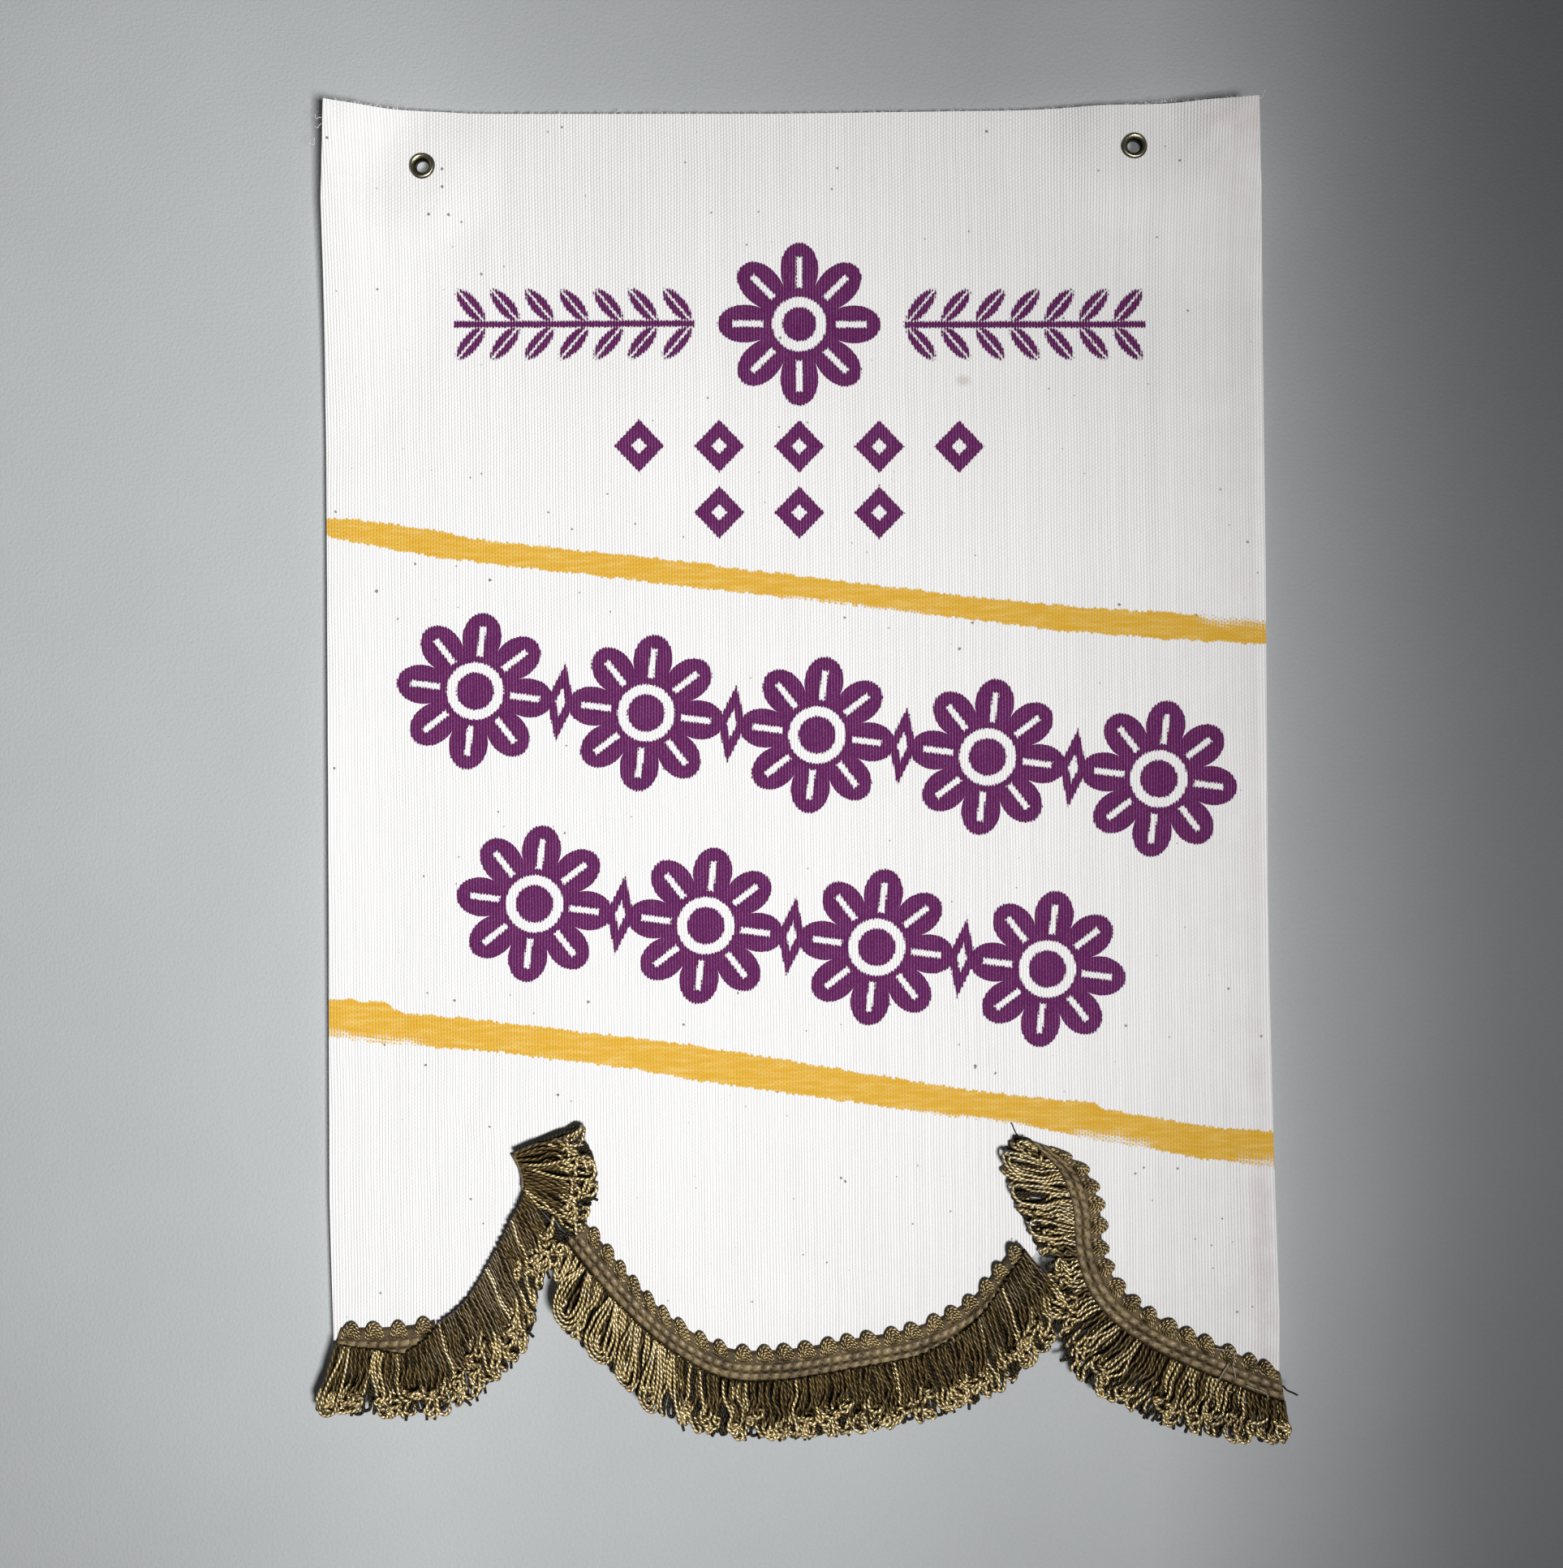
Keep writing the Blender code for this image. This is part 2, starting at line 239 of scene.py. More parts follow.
CURLS = table(
    Curl,
    *((-149.0, 0.0, 45.0, 112.0, 14.0, 1.6), (149.0, -1.0, 78.0, 64.0, 13.0, 1.4)),
    *((-150.5, 220.0, 26.0, 230.0, 2.4, 1.5), (158.0, 388.0, 44.0, 130.0, 6.0, 1.6)),
)
SWELLS = table(
    Swell,
    *((119.8, 107.0, 0.0, 4.0, 72.0, 0.6), (-38.0, 80.0, 32.0, 34.0, 60.0, 1.3)),
    *((62.0, 240.0, -8.0, 50.0, 120.0, -1.4), (-72.0, 290.0, 12.0, 44.0, 110.0, 1.2)),
)

# Small folds and creases that are too fine for the solids
CREASES = table(
    Swell,
    *((120.0, 100.0, 0.0, 1.6, 66.0, 0.22), (-141.6, 190.0, 0.3, 0.9, 260.0, -0.14)),
    *((147.2, 190.0, -0.6, 0.9, 260.0, -0.14), (140.5, 4.0, 55.0, 1.4, 9.0, 0.5)),
    *((149.0, 9.0, 24.0, 1.3, 9.0, 0.4), (134.0, 14.0, 48.0, 2.2, 16.0, -0.35)),
    *((-137.0, 30.0, -30.0, 2.4, 26.0, -0.4), (-10.0, 60.0, 12.0, 5.0, 46.0, 0.22)),
    *((34.0, 46.0, -22.0, 4.0, 34.0, -0.2), (-96.0, 176.0, 64.0, 5.0, 60.0, 0.25)),
    *((70.0, 205.0, 78.0, 6.0, 70.0, -0.25), (-22.0, 250.0, 84.0, 5.0, 58.0, 0.2)),
    *((128.0, 300.0, -14.0, 3.4, 52.0, 0.35), (142.0, 352.0, -8.0, 2.6, 42.0, -0.4)),
    (-108.0, 330.0, 20.0, 4.0, 46.0, -0.25),
)

LEFT_FRINGE = table(
    Section,
    *((-145.5, 394.0, -154.0, 421.0, 0.9, 0.9), (-130.0, 394.0, -131.0, 423.0, 0.9, 0.9)),
    *((-115.5, 391.5, -109.5, 421.0, 0.9, 0.9), (-105.0, 383.5, -94.5, 410.5, 0.9, 1.1)),
    *((-97.0, 370.5, -83.5, 397.0, 1.2, 1.5), (-90.5, 358.0, -81.0, 381.5, 2.0, 3.2)),
    *((-86.5, 350.0, -72.0, 369.0, 3.0, 4.7), (-86.0, 344.5, -63.0, 355.0, 3.0, 4.5)),
    *((-87.5, 340.0, -62.0, 340.5, 3.0, 4.0), (-89.5, 336.5, -67.0, 326.5, 2.4, 3.0)),
)
CENTRE_FRINGE = table(
    Section,
    *((-70.0, 355.5, -75.0, 369.5, 0.9, 0.9), (-61.5, 366.0, -74.5, 392.0, 0.9, 0.9)),
    *((-51.0, 379.0, -59.0, 407.5, 0.9, 0.9), (-38.0, 391.5, -41.0, 423.0, 0.9, 0.9)),
    *((-21.5, 400.5, -22.5, 429.0, 0.9, 0.9), (-3.5, 401.5, -3.0, 430.0, 0.9, 0.9)),
    *((20.0, 398.0, 23.0, 428.0, 0.9, 0.9), (41.0, 394.0, 47.5, 423.0, 0.9, 1.0)),
    *((58.0, 385.5, 65.5, 415.0, 1.0, 2.2), (68.0, 374.0, 79.5, 404.0, 2.4, 4.0)),
    (74.0, 366.0, 91.0, 388.0, 4.2, 5.0),
)
RIGHT_FRINGE = table(
    Section,
    *((87.0, 336.5, 73.5, 332.0, 0.9, 1.8), (96.0, 343.5, 69.0, 341.0, 0.9, 1.5)),
    *((100.5, 356.0, 71.5, 352.0, 0.9, 1.1), (101.5, 369.0, 79.0, 366.0, 0.9, 0.9)),
    *((106.0, 379.5, 84.5, 390.0, 0.9, 0.9), (114.0, 387.5, 91.5, 409.0, 0.9, 0.9)),
    *((125.0, 394.0, 109.0, 420.0, 0.9, 0.9), (141.0, 400.5, 132.0, 428.0, 0.9, 0.9)),
    (157.5, 407.0, 161.0, 430.0, 0.9, 0.9),
)


def through(rows: Sequence[NamedTuple], position: float) -> np.ndarray:
    """Finds the row at a position counted in rows, on a smooth curve through them all.

    Args:
        rows: Rows of named numbers.
        position: The place along them, where 0 is the first row.

    Returns:
        The row's numbers.
    """
    start = min(int(position), len(rows) - 2)
    part = position - start
    before, here, following = (np.array(rows[at]) for at in (max(start - 1, 0), start, start + 1))
    after = np.array(rows[min(start + 2, len(rows) - 1)])
    bend = 2.0 * before - 5.0 * here + 4.0 * following - after
    twist = 3.0 * here - before - 3.0 * following + after
    return 0.5 * (2.0 * here + (following - before) * part + bend * part**2 + twist * part**3)


def read_at(edge: Sequence[Place], x: np.ndarray) -> np.ndarray:
    """How far down an edge lies at each x."""
    return np.interp(x, [place.x for place in edge], [place.down for place in edge])


def soft_step(value: np.ndarray) -> np.ndarray:
    """A soft step from 0 to 1."""
    held = np.clip(value, 0.0, 1.0)
    return held * held * (3.0 - 2.0 * held)


def grid_faces(columns: int, rows: int) -> tuple[np.ndarray, np.ndarray]:
    """The number of each point of a grid, and the four corners of each of its cells."""
    number = np.arange(columns * rows).reshape(columns, rows)
    corners = number[:-1, :-1], number[:-1, 1:], number[1:, 1:], number[1:, :-1]
    return number, np.stack(corners, axis=-1)


@dataclass(frozen=True)
class Hang:
    """How the canvas stands forward as it hangs: its curled corners, folds and creases."""

    eyelets: Sequence[Place] = (LEFT_EYELET, RIGHT_EYELET)
    flat_radius: float = 8.0
    flat_fade: float = 8.0
    sheet_fade: float = 20.0

    @staticmethod
    def fold(swell: Swell, x: np.ndarray, down: np.ndarray) -> np.ndarray:
        """How far one soft fold or crease stands forward at each place."""
        lean = math.radians(swell.lean)
        across = (x - swell.x) * math.cos(lean) + (down - swell.down) * math.sin(lean)
        along = (down - swell.down) * math.cos(lean) - (x - swell.x) * math.sin(lean)
        return swell.rise * np.exp(-((across / swell.half_wide) ** 2) - (along / swell.half_long) ** 2)

    def free_forward(self, x: np.ndarray, down: np.ndarray) -> np.ndarray:
        """How far the canvas stands forward from its curls and swells alone."""
        total = np.zeros(np.broadcast(x, down).shape)
        for curl in CURLS:
            away = np.hypot((x - curl.x) / curl.reach_x, (down - curl.down) / curl.reach_down)
            total = total + curl.rise * np.maximum(1.0 - away, 0.0) ** curl.power
        for swell in SWELLS:
            total = total + self.fold(swell, x, down)
        return total

    def forward(self, x: np.ndarray, down: np.ndarray, creased: bool) -> np.ndarray:
        """How far the canvas stands forward, level where an eyelet clamps it.

        Args:
            x: Places to the right.
            down: Places below the top edge.
            creased: Whether the fine creases count too.

        Returns:
            The distance forward at each place.
        """
        total = self.free_forward(x, down)
        for crease in CREASES if creased else ():
            total = total + self.fold(crease, x, down)
        fade = self.sheet_fade if creased else self.flat_fade
        for eyelet in self.eyelets:
            away = np.hypot(x - eyelet.x, down - eyelet.down)
            clamp = 1.0 - soft_step((away - self.flat_radius) / fade)
            level = self.free_forward(np.array(eyelet.x), np.array(eyelet.down))
            total = total + clamp * (level - total)
        return total

    def points(
        self, x: np.ndarray, down: np.ndarray, off: np.ndarray | float, creased: bool = False
    ) -> np.ndarray:
        """The points in metres that lie off the canvas's middle plane.

        Args:
            x: Places to the right.
            down: Places below the top edge.
            off: The distance in front of the middle plane.
            creased: Whether the fine creases count too.

        Returns:
            Points, with their three coordinates last.
        """
        depth = self.forward(x, down, creased) + off
        return np.stack(np.broadcast_arrays(x, -depth, -down), axis=-1) * MM


class MeshDraft:
    """Collects the vertices and faces of one piece."""

    def __init__(self) -> None:
        """Starts an empty draft."""
        self.vertices: list[np.ndarray] = []
        self.faces: list[list[int]] = []
        self.finishes: list[int] = []
        self.spun: list[np.ndarray] = []
        self.count = 0

    def add(
        self,
        vertices: np.ndarray,
        faces: Sequence[Sequence[int]],
        finishes: Sequence[int] | None = None,
        spun: np.ndarray | None = None,
    ) -> None:
        """Adds vertices, and faces that count from the first of them.

        Args:
            vertices: Points in metres.
            faces: The corners of each face.
            finishes: The material of each face, or None for the first material.
            spun: Each face corner's turn round its cord and millimetres along it, if it is on one.
        """
        if spun is None:
            spun = np.zeros((sum(len(face) for face in faces), 2))
        self.spun.append(spun)
        self.vertices.append(vertices.reshape(-1, 3))
        self.faces.extend([corner + self.count for corner in face] for face in faces)
        self.count += len(self.vertices[-1])
        self.finishes.extend([0] * len(faces) if finishes is None else finishes)

    def build(
        self, name: str, materials: Sequence[bpy.types.Material], slot: Slot, smooth_angle: float
    ) -> bpy.types.Object:
        """Makes the piece, which rides on the one body.

        Args:
            name: The piece's name.
            materials: Its materials, in the order that the faces count them.
            slot: The record's slot that its finish comes from; not used.
            smooth_angle: The angle in degrees over which an edge stays sharp.

        Returns:
            The new object.
        """
        mesh = bpy.data.meshes.new(name)
        mesh.from_pydata(np.concatenate(self.vertices).tolist(), [], self.faces)
        for material in materials:
            mesh.materials.append(material)
        mesh.polygons.foreach_set("material_index", self.finishes)
        spun = mesh.uv_layers.new(name="spun")
        spun.uv.foreach_set("vector", np.concatenate(self.spun).astype(np.float32).ravel())
        mesh.shade_smooth()
        mesh.set_sharp_from_angle(angle=math.radians(smooth_angle))
        mesh.update()
        piece = bpy.data.objects.new(name, mesh)
        bpy.context.scene.collection.objects.link(piece)
        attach(piece, "root")
        mesh.calc_loop_triangles()
        LOG.info("%s: %d triangles", name, len(mesh.loop_triangles))
        return piece


@dataclass(frozen=True)
class CordShape:
    """A twisted cord, drawn as one tube that knows how far round and along it each corner is."""

    radius: float = 0.6
    corners: int = 6
    start_step: float = 9.0

    def sweep(
        self,
        paths: np.ndarray,
        draft: MeshDraft,
        finishes: np.ndarray | None = None,
        thin: float | np.ndarray = 1.0,
    ) -> None:
        """Draws a cord along each path.

        Args:
            paths: Points in metres: a path a row, all with as many points.
            draft: Where the cords go.
            finishes: The material of each stretch of each path, or None for the first material.
            thin: The share of its radius that the cord keeps, or one for each point.
        """
        count, length, _ = paths.shape
        along, side = self.frames(paths)
        other = np.cross(along, side)
        steps = np.linalg.norm(np.diff(paths, axis=1), axis=2)
        begin = (np.arange(count) * 0.618 % 1.0)[:, None] * self.start_step * MM
        run = np.concatenate([begin, begin + np.cumsum(steps, axis=1)], axis=1)
        corners = np.arange(self.corners)
        angles = np.broadcast_to(corners / self.corners * math.tau, (count, length, self.corners))
        reach = self.radius * MM * thin
        ring = (
            paths[:, :, None, :]
            + (np.cos(angles) * reach)[..., None] * side[:, :, None, :]
            + (np.sin(angles) * reach)[..., None] * other[:, :, None, :]
        )
        near_ring = np.arange(length - 1)[:, None] * self.corners
        far_ring = near_ring + self.corners
        after = (corners + 1) % self.corners
        quads = np.stack(
            [near_ring + corners, near_ring + after, far_ring + after, far_ring + corners], axis=-1
        ).reshape(-1, 4)
        ends = corners[::-1].tolist(), ((length - 1) * self.corners + corners).tolist()
        per_path = length * self.corners
        starts = np.arange(count)[:, None, None] * per_path
        every = (quads[None] + starts).reshape(-1, 4).tolist()
        caps = [[corner + path * per_path for corner in end] for path in range(count) for end in ends]
        marks = None
        if finishes is not None:
            stretch = np.repeat(finishes, self.corners, axis=1).reshape(-1)
            marks = stretch.tolist() + finishes[:, [0, -1]].reshape(-1).tolist()
        near = np.broadcast_to(corners / self.corners, (count, length - 1, self.corners))
        far = near + 1.0 / self.corners
        begun = np.broadcast_to(run[:, :-1, None] / MM, near.shape)
        ended = np.broadcast_to(run[:, 1:, None] / MM, near.shape)
        spun = np.stack([near, begun, far, begun, far, ended, near, ended], axis=-1).reshape(-1, 2)
        draft.add(ring, every + caps, marks, np.concatenate([spun, np.zeros((2 * count * self.corners, 2))]))

    @staticmethod
    def frames(paths: np.ndarray) -> tuple[np.ndarray, np.ndarray]:
        """Directions along and across each path, which turn as little as they can.

        Args:
            paths: Points in metres: a path a row.

        Returns:
            The unit tangents, and unit vectors square to them.
        """

        def dot(one: np.ndarray, other: np.ndarray) -> np.ndarray:
            """The inner product of each pair."""
            return np.sum(one * other, axis=1, keepdims=True)

        along = np.gradient(paths, axis=1)
        along /= np.linalg.norm(along, axis=2, keepdims=True) + 1e-12
        first = np.cross(along[:, 0], np.array([0.3, 0.9, 0.2]))
        side = np.empty_like(paths)
        side[:, 0] = first / np.linalg.norm(first, axis=1, keepdims=True)
        for at in range(paths.shape[1] - 1):
            span = paths[:, at + 1] - paths[:, at]
            square = dot(span, span) + 1e-18
            turned = side[:, at] - span * (2.0 * dot(span, side[:, at]) / square)
            tangent = along[:, at] - span * (2.0 * dot(span, along[:, at]) / square)
            gap = along[:, at + 1] - tangent
            moved = turned - gap * (2.0 * dot(gap, turned) / (dot(gap, gap) + 1e-18))
            side[:, at + 1] = moved / (np.linalg.norm(moved, axis=1, keepdims=True) + 1e-12)
        return along, side


def math_method(operation: str, swapped: bool = False) -> Callable[..., "Value"]:
    """Makes a method of Value that adds one Math node, where a swapped one takes the value last."""

    def method(self: "Value", *others: "Number") -> "Value":
        """Adds the node and gives its result."""
        values = (*others, self) if swapped else (self, *others)
        return self.nodes.math(operation, *values)

    return method


class Value:
    """A number that changes over a surface; sums on it add Math nodes."""

    __add__ = math_method("ADD")
    __radd__ = math_method("ADD", swapped=True)
    __sub__ = math_method("SUBTRACT")
    __rsub__ = math_method("SUBTRACT", swapped=True)
    __mul__ = math_method("MULTIPLY")
    __rmul__ = math_method("MULTIPLY", swapped=True)
    __truediv__ = math_method("DIVIDE")
    __pow__ = math_method("POWER")
    __abs__ = math_method("ABSOLUTE")
    least = math_method("MINIMUM")
    most = math_method("MAXIMUM")
    sine = math_method("SINE")
    cosine = math_method("COSINE")
    whole = math_method("FLOOR")
    fraction = math_method("FRACT")

    def __init__(self, nodes: "Nodes", socket: bpy.types.NodeSocket) -> None:
        """Wraps an output socket of a material's nodes."""
        self.nodes = nodes
        self.socket = socket

    def with_side(self, other: "Value") -> "Value":
        """The length of the long side of a right triangle with this and another side."""
        return self.nodes.math("SQRT", self**2.0 + other**2.0)

    def between(self, low: float, high: float) -> "Value":
        """A soft step from 0 at low to 1 at high."""
        ends = {"Value": self, "From Min": low, "From Max": high}
        return self.nodes.value("ShaderNodeMapRange", ends, interpolation_type="SMOOTHSTEP")


Number = Value | float
Colour = Value | Sequence[float]


class Nodes:
    """The nodes of one material."""

    def __init__(self, name: str) -> None:
        """Starts an empty material of a name."""
        self.material = bpy.data.materials.new(name)
        self.material.use_nodes = True
        self.tree = self.material.node_tree
        self.tree.nodes.clear()

    def add(self, kind: str, inputs: Mapping[str | int, object], **settings: object) -> bpy.types.Node:
        """Adds a node.

        Args:
            kind: The node's type.
            inputs: The values or links of its sockets.
            settings: What is set first; points fill a curve.

        Returns:
            The new node.
        """
        node = self.tree.nodes.new(kind)
        for key, value in settings.items():
            if key == "points":
                self.set_points(node.mapping, value)
            else:
                setattr(node, key, value)
        for key, value in inputs.items():
            if isinstance(value, Value):
                self.tree.links.new(value.socket, node.inputs[key])
            else:
                node.inputs[key].default_value = value
        return node

    def value(
        self, kind: str, inputs: Mapping[str | int, object], output: str | int = 0, **settings: object
    ) -> Value:
        """Adds a node and gives one of its outputs."""
        return Value(self, self.add(kind, inputs, **settings).outputs[output])

    @staticmethod
    def set_points(mapping: bpy.types.CurveMapping, points: Sequence[tuple[float, float]]) -> None:
        """Fills a curve with straight runs between points that go from 0 to 1 both ways."""
        curve = mapping.curves[0]
        while len(curve.points) < len(points):
            curve.points.new(0.5, 0.5)
        for point, place in zip(curve.points, points):
            point.location = place
            point.handle_type = "VECTOR"
        mapping.update()

    def math(self, operation: str, *values: Number) -> Value:
        """One Math node on some values."""
        return self.value("ShaderNodeMath", dict(enumerate(values)), operation=operation)

    def vector(self, x: Number, y: Number, z: Number) -> Value:
        """A vector of three values."""
        return self.value("ShaderNodeCombineXYZ", {"X": x, "Y": y, "Z": z})

    def split(self, vector: Value) -> list[Value]:
        """The three parts of a vector."""
        parts = self.add("ShaderNodeSeparateXYZ", {"Vector": vector})
        return [Value(self, output) for output in parts.outputs]

    def places(self) -> tuple[Value, Value, Value]:
        """How far right, forward and down the point on the piece is, in millimetres."""
        x, y, z = self.split(self.value("ShaderNodeTexCoord", {}, "Object"))
        return x * 1000.0, y * -1000.0, z * -1000.0

    def spun(self) -> tuple[Value, Value]:
        """How far round its cord a point is, from 0 to 1, and how many millimetres along it."""
        around, along, _ = self.split(self.value("ShaderNodeUVMap", {}, "UV", uv_map="spun"))
        return around, along

    def crest(self) -> Value:
        """How squarely the surface faces forward or back, from 0 to 1."""
        return abs(self.split(self.value("ShaderNodeNewGeometry", {}, "Normal"))[1])

    def noise(self, where: Value, scale: float, detail: float = 2.0, roughness: float = 0.5) -> Value:
        """Smooth noise about 0.5.

        Args:
            where: The point, in millimetres.
            scale: Waves to a millimetre.
            detail: How many finer layers it has.
            roughness: How strong the finer layers are.

        Returns:
            The noise, from 0 to 1.
        """
        inputs = {"Vector": where, "Scale": scale, "Detail": detail, "Roughness": roughness}
        return self.value("ShaderNodeTexNoise", inputs)

    def chance(self, number: Number) -> Value:
        """A number from 0 to 1 that jumps with each change of another."""
        return self.value("ShaderNodeTexWhiteNoise", {"W": number}, "Value", noise_dimensions="1D")

    def curve(self, number: Value, points: Sequence[tuple[float, float]]) -> Value:
        """A curve read at a number from 0 to 1."""
        return self.value("ShaderNodeFloatCurve", {"Factor": 1.0, "Value": number}, points=points)

    def blend(self, share: Number, first: Colour, second: Colour, how: str = "MIX") -> Value:
        """Mixes two colours.

        Args:
            share: How much of the second there is.
            first: A colour.
            second: A colour.
            how: The kind of mixing.

        Returns:
            The mixed colour.
        """
        first, second = (part if isinstance(part, Value) else (*part, 1.0) for part in (first, second))
        inputs = {0: share, 6: first, 7: second}
        return self.value("ShaderNodeMix", inputs, 2, data_type="RGBA", blend_type=how)

    def toned(self, colour: Colour, tone: Value) -> Value:
        """A colour times a tone."""
        return self.blend(1.0, colour, self.vector(tone, tone, tone), "MULTIPLY")

    def bump(self, height: Value, depth: float) -> Value:
        """Normals of a relief whose height of 1 is so many millimetres."""
        return self.value("ShaderNodeBump", {"Height": height, "Distance": depth * MM, "Strength": 1.0})

    def surface(self, inputs: Mapping[str, object]) -> bpy.types.Material:
        """Ends the material in one shader with these inputs."""
        return self.end(self.value("ShaderNodeBsdfPrincipled", inputs))

    def end(self, shader: Value) -> bpy.types.Material:
        """Ends the material in a shader."""
        self.add("ShaderNodeOutputMaterial", {"Surface": shader})
        return self.material


@dataclass(frozen=True)
class Flower:
    """A printed flower with rounded petals, a bare ring round its heart and bare veins."""

    radius: float
    petals: int
    notch: float = 0.5
    heart: float = 0.27
    ring: float = 0.06
    vein: float = 0.035
    vein_from: float = 0.45
    vein_to: float = 0.82

    def depth(self, x: Value, down: Value) -> Value:
        """How many millimetres inside the ink a point lies, from its place beside the flower's middle."""
        away = x.nodes.math("SQRT", x * x + down * down)
        turn = x.nodes.math("ARCTAN2", down, x) * (self.petals / 2.0)
        petal = abs(turn.cosine())
        outline = self.radius * ((1.0 - self.notch) + self.notch * petal**0.6) - away
        ring = abs(away - self.radius * self.heart) - self.radius * self.ring
        from_vein = abs(turn.sine()) * away * (2.0 / self.petals) - self.radius * self.vein
        past = (self.radius * self.vein_from - away).most(away - self.radius * self.vein_to)
        return outline.least(ring).least(from_vein.most(past))


@dataclass(frozen=True)
class Lozenge:
    """A printed lozenge with a bare heart."""

    half_wide: float
    half_tall: float
    heart: float = 0.3

    def depth(self, x: Value, down: Value) -> Value:
        """How many millimetres inside the ink a point lies, from its place beside the lozenge's middle."""
        spread = abs(x) / self.half_wide + abs(down) / self.half_tall
        return (1.0 - spread).least(spread - self.heart) * min(self.half_wide, self.half_tall)


@dataclass(frozen=True)
class Sprig:
    """A printed stem with leaves in pairs."""

    start: float
    end: float
    pitch: float = 11.2
    stem: float = 1.1
    leaf_long: float = 6.6
    leaf_wide: float = 2.7
    rib: float = 0.28
    lean: float = 50.0

    def depth(self, along: Value, across: Value) -> Value:
        """How many millimetres inside the ink a point lies, from its place along and across the stem."""
        beside = abs(across)
        stem = self.stem - beside
        cell = ((along - self.start) / self.pitch).fraction() * self.pitch - self.pitch / 2.0
        lean = math.radians(self.lean)
        high = beside - self.leaf_long * 0.92
        forth = cell * math.cos(lean) + high * math.sin(lean)
        over = high * math.cos(lean) - cell * math.sin(lean)
        leaf = 1.0 - (forth / self.leaf_long).with_side(over / self.leaf_wide)
        leaf = (leaf * self.leaf_wide).least(abs(over) - self.rib)
        ends = (along - self.start).least(self.end - along)
        return stem.most(leaf).least(ends)


@dataclass(frozen=True)
class Print:
    """The generic ornaments printed on the canvas in purple ink."""

    rosette_place: Place = Place(2.9, 68.4)
    rosette: Flower = Flower(26.5, 8)
    sprig: Sprig = Sprig(34.0, 112.4)
    spot_rows: Sequence[tuple[Place, float]] = ((Place(2.9, 108.0), 2.5), (Place(2.9, 129.5), 1.5))
    row_pitch: float = 26.0
    spot: Lozenge = Lozenge(8.2, 8.6)
    field_middle: Place = Place(4.5, 234.5)
    field_lean: float = 7.3
    field_half_wide: float = 140.0
    column_pitch: float = 56.0
    field_row_pitch: float = 66.0
    bloom: Flower = Flower(25.6, 8, notch=0.42, heart=0.3)
    filler: Lozenge = Lozenge(4.6, 13.0, heart=0.34)

    def depth(self, x: Value, down: Value) -> Value:
        """How many millimetres inside any of the ink a place on the canvas lies."""
        right = x - self.rosette_place.x
        below = down - self.rosette_place.down
        inked = self.rosette.depth(right, below).most(self.sprig.depth(abs(right), below))
        for row, half in self.spot_rows:
            inked = inked.most(self.row_of_spots(x - row.x, down - row.down, half))
        return inked.most(self.field(x, down))

    def row_of_spots(self, x: Value, down: Value, half: float) -> Value:
        """How far inside a level row of twice half lozenges a place beside the row's middle lies."""
        cell = ((x / self.row_pitch + 0.5).fraction() - 0.5) * self.row_pitch
        return self.spot.depth(cell, down).least(half * self.row_pitch - abs(x))

    def field(self, x: Value, down: Value) -> Value:
        """How far inside two leaning rows of flowers, the lower one half a column on, a place lies."""
        lean = math.radians(self.field_lean)
        right = x - self.field_middle.x
        below = down - self.field_middle.down
        along = right * math.cos(lean) + below * math.sin(lean)
        across = below * math.cos(lean) - right * math.sin(lean)
        lower = (across + 0.5).between(0.0, 1.0).whole()
        shifted = along / self.column_pitch + 0.5 - lower * 0.5
        cell = (shifted.fraction() - 0.5) * self.column_pitch
        high = across - (lower - 0.5) * self.field_row_pitch
        filler = self.filler.depth(abs(cell) - self.column_pitch / 2.0, high)
        half = self.field_half_wide - lower * (self.column_pitch / 2.0)
        filler = filler.least(half - self.filler.half_wide * 2.0 - abs(along))
        inside = (half - abs(along)).least(self.field_row_pitch - abs(across))
        return self.bloom.depth(cell, high).most(filler).least(inside)


class Weave(NamedTuple):
    """A point on the canvas: its place, the number of its rib and the height of the weave there."""

    spot: Value
    x: Value
    down: Value
    rib: Value
    height: Value

    def stained(self, stain: Stain) -> Value:
        """How strong a stain is there."""
        aside, below = (self.x - stain.x) / stain.reach_x, (self.down - stain.down) / stain.reach_down
        return 1.0 - aside.with_side(below).between(0.2, 1.0)


